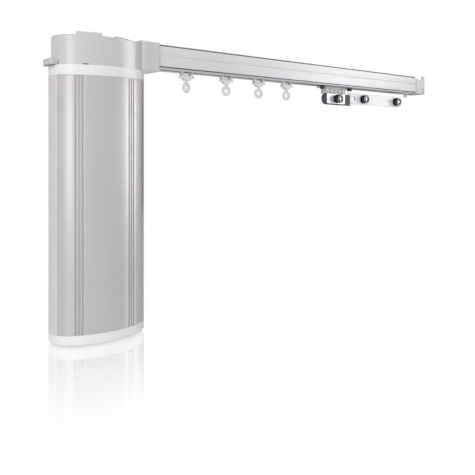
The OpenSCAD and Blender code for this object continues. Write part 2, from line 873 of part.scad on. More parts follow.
module motor_collar() {
    color("white") difference() {
        union() {
            difference() {
                oval_slab(0, collar_bottom, head_bottom);
                oval_slab(shell_wall, collar_bottom - over, deck_low);
            }
            post(0, 0, spigot_neck_r, head_bottom - eps, spigot_top);
            post(0, 0, spigot_r, head_bottom - eps, lock_low - groove_gap);
            post(0, 0, spigot_r, lock_top + groove_gap, spigot_top);
        }
        post(0, 0, spigot_bore_r, deck_low - over, spigot_top + over);
        for (x = [-flange_screw_x, flange_screw_x], y = [-flange_screw_y, flange_screw_y]) {
            post(x, y, screw_hole_r, deck_low - over, head_bottom + over);
            post(x, y, screw_head_r + fit_gap, head_bottom - screw_head_h, head_bottom + over);
        }
    }
}

module gearbox_screws() {
    color("silver") for (x = [-flange_screw_x, flange_screw_x], y = [-flange_screw_y, flange_screw_y])
        translate([x, y, head_bottom - screw_head_h]) rotate([180, 0, 0])
            screw_up(0, 0, 0, screw_r, flange_screw_l, screw_head_r, screw_head_h);
}

module gearbox() {
    bands = 4;
    band_h = gearbox_h / (2 * bands);
    color("grey") difference() {
        union() {
            post(0, 0, gearbox_r - gearbox_groove, gearbox_low, deck_low);
            for (n = [0 : bands - 1])
                post(0, 0, gearbox_r, deck_low - (2 * n + 1) * band_h, deck_low - 2 * n * band_h);
        }
        post(0, 0, shaft_r + run_gap, shaft_low - over, deck_low + over);
        for (x = [-flange_screw_x, flange_screw_x], y = [-flange_screw_y, flange_screw_y])
            post(x, y, screw_hole_r, deck_low - flange_screw_l, deck_low + over);
    }
}

module motor_can() {
    color("silver") {
        post(0, 0, motor_r, motor_low, gearbox_low);
        post(0, 0, motor_boss_r, motor_low - motor_boss_h, motor_low + eps);
    }
}

module damping_rings() {
    color("black") for (z = ring_z) difference() {
        post(0, 0, ring_out_r, z - ring_h / 2, z + ring_h / 2);
        post(0, 0, motor_r, z - ring_h, z + ring_h);
    }
}

module front_panel() {
    color("silver") difference() {
        oval_slab(0, panel_bottom, collar_bottom);
        oval_slab(panel_wall, panel_bottom - over, collar_bottom + over);
        box(-far, far, -panel_edge_y, far, panel_bottom - over, collar_bottom + over);
        for (n = [-1 : 1], x = [-flute_left_x, flute_right_x])
            post(x + n * flute_pitch, flute_sink - front_y(x + n * flute_pitch), flute_r,
                panel_bottom - over, collar_bottom + over);
    }
}

module rear_shell() {
    color("white") difference() {
        union() {
            difference() {
                oval_slab(0, panel_bottom, collar_bottom);
                oval_slab(shell_wall, panel_bottom - over, collar_bottom + over);
                box(-far, far, -far, -panel_edge_y, panel_bottom - over, collar_bottom + over);
            }
            for (z = ring_z) difference() {
                oval_slab(shell_wall - eps, z - shell_rib_t / 2, z + shell_rib_t / 2);
                box(-far, far, -far, 0, z - shell_rib_t, z + shell_rib_t);
                box(-far, -board_x + board_t, -far, far, z - shell_rib_t, z + shell_rib_t);
                post(0, 0, ring_out_r, z - shell_rib_t, z + shell_rib_t);
            }
            for (x = [-cap_boss_x, cap_boss_x])
                post(x, cap_boss_y, cap_boss_r, panel_bottom, panel_bottom + cap_boss_h);
            intersection() {
                oval_slab(shell_wall - eps, board_low, board_top);
                box(-board_x - board_t - board_rail, -board_x + board_rail, board_y - board_rail, far,
                    board_low, board_top);
            }
        }
        box(-board_x - board_t - fit_gap, -board_x + fit_gap, 0, board_y, board_low - over, board_top + over);
        for (x = [-cap_boss_x, cap_boss_x])
            post(x, cap_boss_y, screw_hole_r, panel_bottom - over, panel_bottom + cap_screw_l);
    }
}

module control_board() {
    color("darkgreen") box(-board_x - board_t, -board_x, -board_y, board_y, board_low, board_top);
}

module board_parts() {
    face = -board_x - board_t;
    span = board_top - board_low;
    color("dimgrey") {
        box(face - transformer_h, face, -transformer_w / 2, transformer_w / 2,
            board_top - span * 0.28, board_top - span * 0.1);
        box(face - relay_h, face, -relay_w / 2, relay_w / 2,
            board_top - span * 0.46, board_top - span * 0.36);
        for (y = [-capacitor_y, capacitor_y]) translate([face - capacitor_h, y, board_low + span * 0.38])
            rotate([0, 90, 0]) cylinder(r = capacitor_r, h = capacitor_h);
        box(face - plug_h, face, -plug_w / 2, plug_w / 2, board_low + span * 0.06, board_low + span * 0.2);
    }
}

// The cap's outside: a straight rim and an edge rounded in steps of the same arcs
module cap_form() {
    steps = 6;
    oval_slab(0, motor_bottom + cap_edge_r, panel_bottom);
    hull() for (n = [0 : steps]) {
        turn = 90 * n / steps;
        low = motor_bottom + cap_edge_r * (1 - sin(turn));
        oval_slab(cap_edge_r * (1 - cos(turn)), low, motor_bottom + cap_edge_r + eps, $fn = 48);
    }
}

// An upright block with its middle at the power inlet's
module inlet_block(w, d, low, top) {
    box(-w / 2, w / 2, inlet_y - d / 2, inlet_y + d / 2, low, top);
}

module bottom_cap() {
    floor_z = motor_bottom + cap_floor;
    color("white") difference() {
        union() {
            difference() {
                cap_form();
                oval_slab(cap_edge_r, floor_z, panel_bottom - over);
                oval_slab(shell_wall, motor_bottom + cap_edge_r, panel_bottom + over);
            }
            for (x = [-cap_boss_x, cap_boss_x]) post(x, cap_boss_y, cap_boss_r, floor_z - eps, panel_bottom);
        }
        for (x = [-cap_boss_x, cap_boss_x]) {
            post(x, cap_boss_y, screw_hole_r, motor_bottom - over, panel_bottom + over);
            post(x, cap_boss_y, cap_head_r + fit_gap, motor_bottom - over, floor_z);
        }
        post(button_x, 0, button_r + button_gap, motor_bottom - over, floor_z + over);
        inlet_block(inlet_w, inlet_d, motor_bottom - over, floor_z + over);
    }
}

module cap_screws() {
    shank_l = cap_h - cap_floor + cap_screw_l - over;
    color("silver") for (x = [-cap_boss_x, cap_boss_x])
        screw_up(x, cap_boss_y, motor_bottom + cap_floor, screw_r, shank_l, cap_head_r, screw_head_h);
}

module power_inlet() {
    floor_z = motor_bottom + cap_floor;
    hole_top = motor_bottom + inlet_hole_h;
    color("black") {
        difference() {
            union() {
                inlet_block(inlet_w, inlet_d, motor_bottom, motor_bottom + inlet_h);
                inlet_block(inlet_w + 2 * inlet_lip, inlet_d + 2 * inlet_lip, floor_z, floor_z + inlet_lip);
            }
            inlet_block(inlet_hole_w, inlet_hole_d, motor_bottom - over, hole_top);
        }
        for (x = [-inlet_pin_x, inlet_pin_x])
            post(x, inlet_y, inlet_pin_r, hole_top - inlet_pin_h, hole_top + eps);
    }
}

module setting_button() {
    floor_z = motor_bottom + cap_floor;
    color("grey") {
        post(button_x, 0, button_r, motor_bottom + button_sunk, floor_z + button_lip_h);
        post(button_x, 0, button_lip_r, floor_z + fit_gap, floor_z + fit_gap + button_lip_h);
    }
}

module end_housing() {
    x1 = track_end + end_l;
    in_x = x1 - end_plate;
    tongue_y = clip_slot_w / 2 + tongue_over;
    tongue_top = track_top - track_flange - fit_gap;
    color("lightgrey") difference() {
        union() {
            box(track_end, x1, -end_y, end_y, end_low, end_top);
            box(in_x, x1, -end_y, -end_y + end_post_d, end_low, track_top + end_rise);
            box(track_end - tongue_l, track_end + 2 * end_wall, -tongue_y, tongue_y,
                end_top - end_wall, tongue_top);
        }
        box(track_end - tongue_l - over, track_end, -far, far,
            end_low - over, track_top - web_depth + fit_gap);
        box(track_end - over, in_x, -track_in_y, track_in_y, end_low + end_wall, flange_top + end_gap);
        post(return_x, 0, axle_r, end_low + end_wall / 2, end_top - end_wall / 2);
    }
}

module return_axle() {
    color("silver") post(return_x, 0, axle_r, end_low + end_wall / 2, end_top - end_wall / 2);
}

module return_pulley() {
    color("whitesmoke") difference() {
        union() {
            translate([return_x, 0, 0]) pulley_rim(belt_low, belt_top);
            post(return_x, 0, hub_r, end_low + end_wall + 2 * fit_gap, belt_low + eps);
        }
        post(return_x, 0, axle_r + run_gap, end_low, flange_top + over);
    }
}

module end_stop() {
    flange_z = track_bottom + track_flange;
    near = stop_x - stop_l / 2;
    neck_low = track_bottom - stop_out;
    ring_y = stop_ring_t / 2;
    color("white") {
        box(near, near + stop_l, -stop_y, stop_y, flange_z, flange_z + stop_h);
        box(near, near + stop_l, -slot_y + fit_gap, slot_y - fit_gap, neck_low, flange_z + eps);
        difference() {
            union() {
                cross_bar(stop_x, stop_ring_z, stop_ring_r, -ring_y, ring_y);
                box(stop_x - stop_ring_r / 2, stop_x + stop_ring_r / 2, -ring_y, ring_y,
                    stop_ring_z + stop_ring_r / 2, neck_low + eps);
            }
            cross_bar(stop_x, stop_ring_z, stop_ring_hole_r, -stop_ring_t, stop_ring_t);
        }
    }
}

module carrier_body() {
    half = carrier_block_l / 2;
    side_y = carrier_block_w / 2;
    pitch = carrier_block_l / (rib_grooves + 1);
    color("whitesmoke") translate([carrier_x, 0, 0]) difference() {
        union() {
            box(-beam_l / 2, beam_l / 2, -beam_y, beam_y, beam_low, beam_top);
            box(-neck_l / 2, neck_l / 2, -neck_y, neck_y, plate_low - eps, beam_low + eps);
            box(-tower_l / 2, tower_l / 2, clamp_t - clamp_front, tower_y, beam_top - eps, tower_top);
            box(-half, half, -side_y, side_y, block_low, plate_low);
        }
        for (x = [-carrier_wheel_x, carrier_wheel_x])
            cross_bar(x, wheel_z, wheel_axle_r + run_gap, -far, far);
        for (n = [1 : rib_grooves], side = [0, 1]) mirror([0, side, 0]) translate([n * pitch - half, 0, 0])
            box(-rib_groove_w / 2, rib_groove_w / 2, side_y - rib_groove_d, far, block_low - over, plate_low);
        for (x = [-clamp_screw_x, clamp_screw_x]) {
            cross_bar(x, clamp_screw_z, clamp_screw_r, -far, far);
            cross_bar(x, clamp_screw_z, clamp_head_r + fit_gap, clamp_head_y, far);
        }
    }
}

module carrier_plate() {
    half = carrier_plate_l / 2;
    slot_l = neck_l / 2 + fit_gap;
    slot_w = neck_y + fit_gap;
    color("whitesmoke") translate([carrier_x, 0, 0]) difference() {
        box(-half, half, -carrier_plate_w / 2, carrier_plate_w / 2, plate_low, plate_top);
        box(-slot_l, slot_l, -slot_w, slot_w, plate_low - over, plate_top + over);
        for (x = [-pad_x, pad_x])
            box(x - pad_l / 2, x + pad_l / 2, -far, -pad_back, plate_low - over, plate_top + over);
    }
}

module belt_clamp() {
    back = clamp_t - clamp_front;
    color("grey") translate([carrier_x, 0, 0]) difference() {
        box(-clamp_l / 2, clamp_l / 2, -clamp_front, back, clamp_low, tower_top);
        for (n = [0 : clamp_grooves - 1]) translate([(n - clamp_grooves / 2) * belt_pitch, 0, 0])
            box(0, tooth_w, -far, -clamp_front + tooth_h, clamp_low - over, tower_top + over);
        for (x = [-clamp_screw_x, clamp_screw_x])
            cross_bar(x, clamp_screw_z, clamp_screw_r, clamp_hole_end - clamp_front, far);
    }
}

module clamp_screws() {
    head_end = clamp_head_y + clamp_head_h;
    slot_x = clamp_head_r / 2;
    slot_z = clamp_head_r / 6;
    color("silver") for (x = [-clamp_screw_x, clamp_screw_x]) translate([carrier_x + x, 0, clamp_screw_z])
        difference() {
            union() {
                cross_bar(0, 0, clamp_head_r, clamp_head_y, head_end);
                cross_bar(0, 0, clamp_screw_r, clamp_screw_end - clamp_front, clamp_head_y + eps);
            }
            box(-slot_x, slot_x, head_end - clamp_head_h / 2, far, -slot_z, slot_z);
        }
}

module buffer_pads() {
    pad_y = carrier_plate_w / 2 + pad_out;
    color("black") for (x = [carrier_x - pad_x, carrier_x + pad_x])
        box(x - pad_l / 2, x + pad_l / 2, -pad_y, -pad_back, plate_top - pad_h, plate_top);
}

module arm_holder() {
    end_r = holder_h / 2;
    color("black") difference() {
        union() {
            side_slab(-holder_y, -arm_y) {
                translate([holder_near + end_r, holder_low]) square([holder_l - end_r, holder_h]);
                translate([holder_near + end_r, holder_low + end_r]) circle(end_r);
            }
            box(carrier_x - holder_flange_x, carrier_x + holder_flange_x, -arm_y - eps, carrier_block_w / 2,
                block_low - holder_flange, block_low);
        }
        cross_bar(front_stud_x, front_stud_z, stud_hole_r, -far, far);
    }
}

module front_plate() {
    x1 = front_near + front_plate_w;
    low = front_top - front_plate_h;
    color("silver") difference() {
        side_slab(-holder_y - sheet_t, -holder_y) {
            translate([front_near + plate_edge_r, low])
                square([front_plate_w - 2 * plate_edge_r, front_plate_h]);
            translate([front_near, low + plate_edge_r])
                square([front_plate_w, front_plate_h - 2 * plate_edge_r]);
            for (x = [front_near + plate_edge_r, x1 - plate_edge_r])
                for (z = [low + plate_edge_r, front_top - plate_edge_r])
                    translate([x, z]) circle(plate_edge_r);
        }
        cross_bar(front_stud_x, front_stud_z, stud_hole_r, -far, 0);
    }
}

// A waisted chrome stud on the plane y, with a cupped head and its shank through a sheet of thickness t
module stud(x, y, z, t) {
    neck_front = y - stud_t - stud_neck_h;
    head_front = y - stud_out;
    cross_bar(x, z, stud_r, y - stud_t, y);
    cross_bar(x, z, stud_neck_r, neck_front - eps, y - stud_t + eps);
    difference() {
        cross_bar(x, z, stud_r, head_front, neck_front);
        cross_bar(x, z, stud_cup_r, head_front - over, head_front + stud_cup_d);
    }
    cross_bar(x, z, stud_pin_r, head_front + stud_pin_in, y + t + stud_back);
    cross_bar(x, z, stud_back_r, y + t, y + t + stud_back);
}

module plate_stud() {
    color("silver") stud(front_stud_x, -holder_y - sheet_t, front_stud_z, 2 * sheet_t + holder_d);
}

module overlap_arm() {
    end_x = carrier_x + arm_reach - arm_h / 2;
    color("gainsboro") difference() {
        side_slab(-arm_y, -arm_y + sheet_t) {
            translate([holder_far, arm_low]) square([end_x - holder_far, arm_h]);
            translate([arm_near, arm_low]) square([arm_hold + eps, arm_hold_top - arm_low]);
            translate([end_x, arm_z]) circle(arm_h / 2);
        }
        for (x = [stud_near_x, stud_far_x]) cross_bar(carrier_x + x, arm_z, stud_hole_r, -far, 0);
        cross_bar(front_stud_x, front_stud_z, stud_hole_r, -far, 0);
        cross_bar(carrier_x + arm_hole_x, arm_z, arm_hole_r, -far, 0);
    }
}

module arm_studs() {
    color("silver") for (x = [stud_near_x, stud_far_x]) stud(carrier_x + x, -arm_y, arm_z, sheet_t);
}

// Two wheels moulded on one axle
module wheel_set(x) {
    color("whitesmoke") {
        for (side = [0, 1]) mirror([0, side, 0]) {
            cross_bar(x, wheel_z, wheel_r, wheel_in, wheel_in + wheel_t);
            cross_bar(x, wheel_z, wheel_hub_r, wheel_in - wheel_hub_l, wheel_in + eps);
        }
        cross_bar(x, wheel_z, wheel_axle_r, -wheel_in, wheel_in);
    }
}

module carrier_near_wheels() {
    wheel_set(carrier_x - carrier_wheel_x);
}

module carrier_far_wheels() {
    wheel_set(carrier_x + carrier_wheel_x);
}

module runner(x) {
    half = runner_l / 2;
    color("whitesmoke") translate([x, 0, 0]) difference() {
        union() {
            for (side = [-1, 1]) translate([side * leg_x, 0, 0])
                box(-leg_t / 2, leg_t / 2, -runner_t / 2, runner_t / 2, web_low, leg_top);
            box(-half, half, -runner_t / 2, runner_t / 2, web_low, web_top);
            box(-ear_l / 2, ear_l / 2, -ear_w / 2, ear_w / 2, web_low - ear_t / 2, web_low + ear_t / 2);
            side_slab(-runner_t / 2, runner_t / 2) polygon([
                [-half, web_low + eps], [half, web_low + eps],
                [funnel_w / 2, funnel_low], [-funnel_w / 2, funnel_low]
            ]);
        }
        post(0, 0, shank_r + run_gap, funnel_low - over, web_top + over);
        for (side = [-1, 1]) cross_bar(side * leg_x, wheel_z, wheel_axle_r + run_gap, -far, far);
    }
}

// A ring hung on a shank that turns in its runner
module eyelet(x, turn) {
    land = eyelet_t / 2 - eyelet_edge_r;
    band = eyelet_r - eyelet_hole_r;
    color("whitesmoke") translate([x, 0, 0]) rotate([0, 0, turn]) {
        translate([0, 0, eyelet_z]) rotate([90, 0, 0]) rotate_extrude() {
            translate([eyelet_hole_r, -land]) square([band, 2 * land]);
            translate([eyelet_hole_r + eyelet_edge_r, -eyelet_t / 2])
                square([band - 2 * eyelet_edge_r, eyelet_t]);
            for (r = [eyelet_hole_r + eyelet_edge_r, eyelet_r - eyelet_edge_r], side = [-1, 1])
                translate([r, side * land]) circle(eyelet_edge_r);
        }
        post(0, 0, shank_r, eyelet_z + eyelet_hole_r + eyelet_edge_r, web_top + shank_head_h);
        post(0, 0, shank_head_r, web_top + fit_gap, web_top + fit_gap + shank_head_h);
    }
}

module runner_1() { runner(runner_1_x); }
module runner_2() { runner(runner_2_x); }
module runner_3() { runner(runner_3_x); }
module runner_4() { runner(runner_4_x); }
module runner_1_near_wheels() { wheel_set(runner_1_x - leg_x); }
module runner_2_near_wheels() { wheel_set(runner_2_x - leg_x); }
module runner_3_near_wheels() { wheel_set(runner_3_x - leg_x); }
module runner_4_near_wheels() { wheel_set(runner_4_x - leg_x); }
module runner_1_far_wheels() { wheel_set(runner_1_x + leg_x); }
module runner_2_far_wheels() { wheel_set(runner_2_x + leg_x); }
module runner_3_far_wheels() { wheel_set(runner_3_x + leg_x); }
module runner_4_far_wheels() { wheel_set(runner_4_x + leg_x); }
module runner_1_eyelet() { eyelet(runner_1_x, eyelet_1_turn); }
module runner_2_eyelet() { eyelet(runner_2_x, eyelet_2_turn); }
module runner_3_eyelet() { eyelet(runner_3_x, eyelet_3_turn); }
module runner_4_eyelet() { eyelet(runner_4_x, eyelet_4_turn); }

ceiling_bracket();
drive_housing();
housing_base();
pulley_bearing();
housing_screws();
lock_slide();
drive_pulley();
output_shaft();
track_sleeve();
track();
belt();
motor_collar();
gearbox_screws();
gearbox();
motor_can();
damping_rings();
front_panel();
rear_shell();
control_board();
board_parts();
bottom_cap();
cap_screws();
power_inlet();
setting_button();
end_housing();
return_axle();
return_pulley();
end_stop();
carrier_body();
carrier_plate();
carrier_near_wheels();
carrier_far_wheels();
belt_clamp();
clamp_screws();
buffer_pads();
arm_holder();
front_plate();
plate_stud();
overlap_arm();
arm_studs();
runner_1();
runner_1_near_wheels();
runner_1_far_wheels();
runner_1_eyelet();
runner_2();
runner_2_near_wheels();
runner_2_far_wheels();
runner_2_eyelet();
runner_3();
runner_3_near_wheels();
runner_3_far_wheels();
runner_3_eyelet();
runner_4();
runner_4_near_wheels();
runner_4_far_wheels();
runner_4_eyelet();
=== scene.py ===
"""Looks of an electric curtain track: finishes, rounded shells and a pale studio around its CAD frame."""

import json
import math

import bmesh
import bpy
from mathutils import Matrix, Vector


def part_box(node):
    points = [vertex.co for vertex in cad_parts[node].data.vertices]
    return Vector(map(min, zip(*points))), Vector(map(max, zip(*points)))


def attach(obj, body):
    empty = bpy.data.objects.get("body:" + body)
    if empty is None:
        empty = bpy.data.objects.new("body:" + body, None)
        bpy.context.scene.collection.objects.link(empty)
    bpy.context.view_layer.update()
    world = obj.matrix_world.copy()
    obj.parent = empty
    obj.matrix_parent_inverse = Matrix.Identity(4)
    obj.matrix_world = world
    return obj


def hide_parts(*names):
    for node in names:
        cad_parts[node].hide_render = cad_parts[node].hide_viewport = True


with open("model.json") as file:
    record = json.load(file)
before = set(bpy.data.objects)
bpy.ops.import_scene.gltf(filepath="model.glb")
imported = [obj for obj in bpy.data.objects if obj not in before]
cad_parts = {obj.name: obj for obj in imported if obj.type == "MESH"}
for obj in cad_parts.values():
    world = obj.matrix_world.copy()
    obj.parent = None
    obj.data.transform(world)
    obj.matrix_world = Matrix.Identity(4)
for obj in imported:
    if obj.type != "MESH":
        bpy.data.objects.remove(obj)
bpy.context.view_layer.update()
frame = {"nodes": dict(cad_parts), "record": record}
MM = 0.001
ROOT = "track_and_motor"

bl_info = {
    "name": "Electric Curtain Track",
    "version": (1, 0, 0),
    "blender": (4, 5, 0),
    "location": "View3D > Sidebar > Curtain Track",
    "description": "Dresses the curtain track's fixed frame with shells, trim and finishes, and lights it",
    "category": "Object",
}


def linear(hex_colour):
    """An sRGB hex colour as linear red, green and blue."""
    levels = [int(hex_colour[i : i + 2], 16) / 255 for i in (1, 3, 5)]
    return tuple(v / 12.92 if v <= 0.04045 else ((v + 0.055) / 1.055) ** 2.4 for v in levels)


def colour(name, description, hex_colour):
    """A colour that the user can change in the sidebar."""
    rgb = linear(hex_colour)
    return bpy.props.FloatVectorProperty(
        name=name, description=description, subtype="COLOR", size=3, min=0, max=1, default=rgb
    )


def number(name, description, value, **limits):
    """A number that the user can change in the sidebar."""
    return bpy.props.FloatProperty(name=name, description=description, default=value, **limits)


def length(name, description, metres):
    """A length that the user can change in the sidebar."""
    return number(name, description, metres, min=0, unit="LENGTH")


def power(name, description, watts):
    """A lamp's power that the user can change in the sidebar."""
    return number(name, description, watts, min=0, unit="POWER")


class TrackSizes(bpy.types.PropertyGroup):
    """Sizes of what the scene adds to the frame."""

    end_radius: length("End radius", "Radius of the motor's two rounded ends", 23.5 * MM)
    head_wall: length("Head wall", "Wall of the drive head", 2 * MM)
    head_edge: length("Head edge", "Rounding of the drive head's top edge", 1.2 * MM)
    land_depth: length("Land depth", "Depth of the lands on the head's front edge", 2.6 * MM)
    slot_half: length("Slot half width", "Half the width of the lock's slot in the head", 8.65 * MM)
    cap_edge: length("Cap edge", "Rounding of the bottom cap's lower edge", 4 * MM)
    cap_wall: length("Cap wall", "Wall of the bottom cap", 2.2 * MM)
    shell_edge: length("Shell edge", "Rounding of the edges where the motor's shells meet", 0.45 * MM)
    cup_depth: length("Cup depth", "Depth of the cup in a stud's head", 2.4 * MM)
    lobe_ring: length("Lobe ring", "Radius of the ring of lobes in a stud's cup", 3.2 * MM)
    lobe_radius: length("Lobe radius", "Radius of one lobe in a stud's cup", 0.35 * MM)
    lobe_height: length("Lobe height", "Height of the lobes and the rivet in a stud's cup", 1.75 * MM)
    lobe_count: bpy.props.IntProperty(name="Lobes", description="Lobes in a stud", default=8, min=4, max=14)
    rivet_radius: length("Rivet radius", "Radius of the rivet in the middle of a stud's cup", 1.15 * MM)
    pin_radius: length("Pin radius", "Radius of one soldered pin on the control board", 0.5 * MM)
    pin_height: length("Pin height", "Height of one soldered pin on the control board", 1.2 * MM)


class TrackColours(bpy.types.PropertyGroup):
    """Colours of the finishes."""

    white: colour("White", "Collar and bottom cap", "#ebe8eb")
    shell: colour("Shell", "Rear shell of the motor", "#d4d0d4")
    panel: colour("Panel", "Fluted front panel", "#bfbcbf")
    head: colour("Head", "Drive head, sleeve and ceiling bracket", "#cbc8cb")
    track: colour("Track", "Aluminium track", "#d7d4d8")
    end: colour("End", "End housing", "#c6c3c7")
    tab: colour("Tab", "Lock slide and setting button", "#c6c3c6")
    runner: colour("Runner", "Runners and their eyelets", "#e8e5e8")
    carrier: colour("Carrier", "Carrier's pale block", "#d0cdd1")
    dark: colour("Dark", "Arm holder", "#303033")
    arm: colour("Arm", "Overlap arm", "#f6f3f7")


class StageSettings(bpy.types.PropertyGroup):
    """Camera and light of the pale studio."""

    lens: number("Lens", "Focal length", 48.5, min=1, unit="CAMERA")
    azimuth: number("Azimuth", "Turn of the level sight from +Y to +X", math.radians(40.5), subtype="ANGLE")
    eye: bpy.props.FloatVectorProperty(
        name="Eye",
        description="Place of the camera",
        size=3,
        subtype="TRANSLATION",
        default=(-0.2968, -0.5541, -0.1085),
    )
    drop: number("Shift", "Downward shift of the level camera's frame", -0.1842)
    left_power: power("Left strip", "Left strip light", 10.6)
    right_power: power("Right strip", "Right strip light", 13.5)
    top_power: power("Top box", "Soft box above", 3)
    sky: number("Sky", "Strength of the light from all round", 0.475, min=0)
    gloss: number("Floor gloss", "Share of mirror in the floor", 0.36, min=0, max=1)


# Materials


def add(tree, kind, inputs=None, **settings):
    """Adds a node, sets its properties and its inputs, and links those inputs that are given as sockets."""
    node = tree.nodes.new(kind)
    for key, value in settings.items():
        setattr(node, key, value)
    for key, value in (inputs or {}).items():
        if isinstance(value, bpy.types.NodeSocket):
            tree.links.new(value, node.inputs[key])
        else:
            node.inputs[key].default_value = value
    return node


def per_metre(millimetres):
    """Texture scale at which one feature of the pattern measures that many millimetres."""
    return 1 / (millimetres * MM)


def shade(rgb, factor):
    """A linear colour made lighter or darker, as the four numbers that a colour socket takes."""
    return (*(min(1, c * factor) for c in rgb), 1)


def start_material(name):
    """A new material with an empty tree, its Principled shader and the piece's Object coordinates."""
    material = bpy.data.materials.new(name)
    material.use_nodes = True
    tree = material.node_tree
    tree.nodes.clear()
    place = add(tree, "ShaderNodeTexCoord").outputs["Object"]
    shader = add(tree, "ShaderNodeBsdfPrincipled")
    add(tree, "ShaderNodeOutputMaterial", {"Surface": shader.outputs["BSDF"]})
    return material, tree, place, shader


def calc(tree, operation, *values):
    """The result of a sum on numbers or sockets."""
    return add(tree, "ShaderNodeMath", dict(enumerate(values)), operation=operation).outputs[0]


def vector(tree, operation, *values):
    """The result of a sum on vectors."""
    return add(tree, "ShaderNodeVectorMath", dict(enumerate(values)), operation=operation).outputs[0]


def distance(tree, place):
    """How far a place lies from the origin."""
    return add(tree, "ShaderNodeVectorMath", {0: place}, operation="LENGTH").outputs["Value"]


def noise(tree, place, millimetres, detail):
    """A cloudy pattern whose features measure that many millimetres."""
    inputs = {"Vector": place, "Scale": per_metre(millimetres), "Detail": detail}
    return add(tree, "ShaderNodeTexNoise", inputs).outputs[0]


def between(tree, factor, low, high):
    """A number that runs from low to high as factor runs over the middle of a noise's range."""
    inputs = {"Value": factor, "From Min": 0.3, "From Max": 0.7, "To Min": low, "To Max": high}
    return add(tree, "ShaderNodeMapRange", inputs).outputs["Result"]


def tinted(tree, factor, dark, light):
    """A colour between dark and light."""
    return add(tree, "ShaderNodeMix", {0: factor, 6: dark, 7: light}, data_type="RGBA").outputs[2]


def within(tree, value, low, high):
    """1 where a value lies between low and high."""
    return calc(tree, "COMPARE", value, (low + high) / 2, (high - low) / 2)


def level(tree, place, low, high):
    """1 between two heights."""
    return within(tree, add(tree, "ShaderNodeSeparateXYZ", {0: place}).outputs["Z"], low, high)


def bored(tree, place, x, z, radius):
    """1 on the wall of a hole of this radius that runs along Y."""
    offset = vector(tree, "SUBTRACT", place, (x, 0, z))
    flat = vector(tree, "MULTIPLY", offset, (1, 0, 1))
    return calc(tree, "LESS_THAN", distance(tree, flat), radius)


def recessed(tree, place, inner, outer, low, high):
    """1 between two distances from the middle plane and two heights, so in the grooves of a long face."""
    depth = add(tree, "ShaderNodeSeparateXYZ", {0: place}).outputs["Y"]
    behind = within(tree, calc(tree, "ABSOLUTE", depth), inner, outer)
    return calc(tree, "MULTIPLY", behind, level(tree, place, low, high))


def relief(tree, shader, height, depth, edge, strength):
    """Gives the shader a fine relief of that depth, over edges rounded by that radius, in millimetres."""
    soft = add(tree, "ShaderNodeBevel", {"Radius": edge * MM}, samples=6).outputs[0]
    inputs = {"Height": height, "Distance": depth * MM, "Normal": soft, "Strength": strength}
    tree.links.new(add(tree, "ShaderNodeBump", inputs).outputs[0], shader.inputs["Normal"])


def moulded(name, rgb, roughness, grain, depth, edge, coat=0.0, spread=0.04, shaded_bore=None, lip=None):
    """Moulded plastic or rubber: the mould's eroded grain, slightly uneven gloss and a faint cloudy tint;
    where asked, painted shade darkens a hole's wall and a lip.
    """
    material, tree, place, shader = start_material(name)
    cloud = noise(tree, place, millimetres=45, detail=3)
    fine = noise(tree, place, grain, detail=2)
    tone = tinted(tree, between(tree, cloud, 0, 1), shade(rgb, 1 - spread), shade(rgb, 1 + spread))
    # painted shade: much darker on the wall of a hole, and darker along a low lip, where shadow falls
    painted_hole_shade, painted_lip_shade, uneven = 0.08, 0.4, 0.05
    if shaded_bore:
        tone = tinted(tree, bored(tree, place, *shaded_bore), tone, shade(rgb, painted_hole_shade))
    if lip:
        tone = tinted(tree, level(tree, place, *lip), tone, shade(rgb, painted_lip_shade))
    tree.links.new(tone, shader.inputs["Base Color"])
    tree.links.new(between(tree, fine, roughness - uneven, roughness + uneven), shader.inputs["Roughness"])
    relief(tree, shader, fine, depth, edge, strength=0.6)
    shader.inputs["IOR"].default_value = 1.5
    shader.inputs["Coat Weight"].default_value = coat
    shader.inputs["Coat Roughness"].default_value = 0.12
    return material


def drawn(
    name, rgb, metallic, roughness, along, line, depth, edge, spread=0.05, streak=0.06, shaded_grooves=None, lip=None
):
    """Drawn or extruded metal: fine lines run along the way that it left the die and streak its sheen; where
    asked, painted shade darkens a lower lip and the grooves of a face.
    """
    material, tree, place, shader = start_material(name)
    streak_length = 180
    stretch = [per_metre(line)] * 3
    stretch["XYZ".index(along)] = per_metre(streak_length)
    streaks = add(tree, "ShaderNodeMapping", {"Vector": place, "Scale": stretch}).outputs[0]
    lines = add(tree, "ShaderNodeTexNoise", {"Vector": streaks, "Scale": 1.0, "Detail": 3}).outputs[0]
    cloud = noise(tree, place, millimetres=60, detail=2)
    even = calc(tree, "MULTIPLY", calc(tree, "ADD", lines, cloud), 0.5)
    tone = tinted(tree, between(tree, even, 0, 1), shade(rgb, 1 - spread), shade(rgb, 1 + spread))
    # painted shade: darker along the lower lip and much darker in the grooves of the face, where shadow
    # falls
    painted_lip_shade, painted_groove_shade = 0.66, 0.3
    if lip:
        tone = tinted(tree, level(tree, place, *lip), tone, shade(rgb, painted_lip_shade))
    if shaded_grooves:
        tone = tinted(tree, recessed(tree, place, *shaded_grooves), tone, shade(rgb, painted_groove_shade))
    tree.links.new(tone, shader.inputs["Base Color"])
    tree.links.new(between(tree, lines, roughness - streak, roughness + streak), shader.inputs["Roughness"])
    relief(tree, shader, lines, depth, edge, strength=0.5)
    shader.inputs["Metallic"].default_value = metallic
    return material


def plated(name, rgb, roughness, edge):
    """Plated or ground metal: bright, with a faint cloud of handling in its gloss."""
    material, tree, place, shader = start_material(name)
    cloud = noise(tree, place, millimetres=6, detail=4)
    dull, bright = shade(rgb, 0.92), shade(rgb, 1.06)
    polished, worn = roughness - 0.05, roughness + 0.07
    tree.links.new(tinted(tree, between(tree, cloud, 0, 1), dull, bright), shader.inputs["Base Color"])
    tree.links.new(between(tree, cloud, polished, worn), shader.inputs["Roughness"])
    relief(tree, shader, cloud, depth=0.01, edge=edge, strength=0.3)
    shader.inputs["Metallic"].default_value = 1
    return material


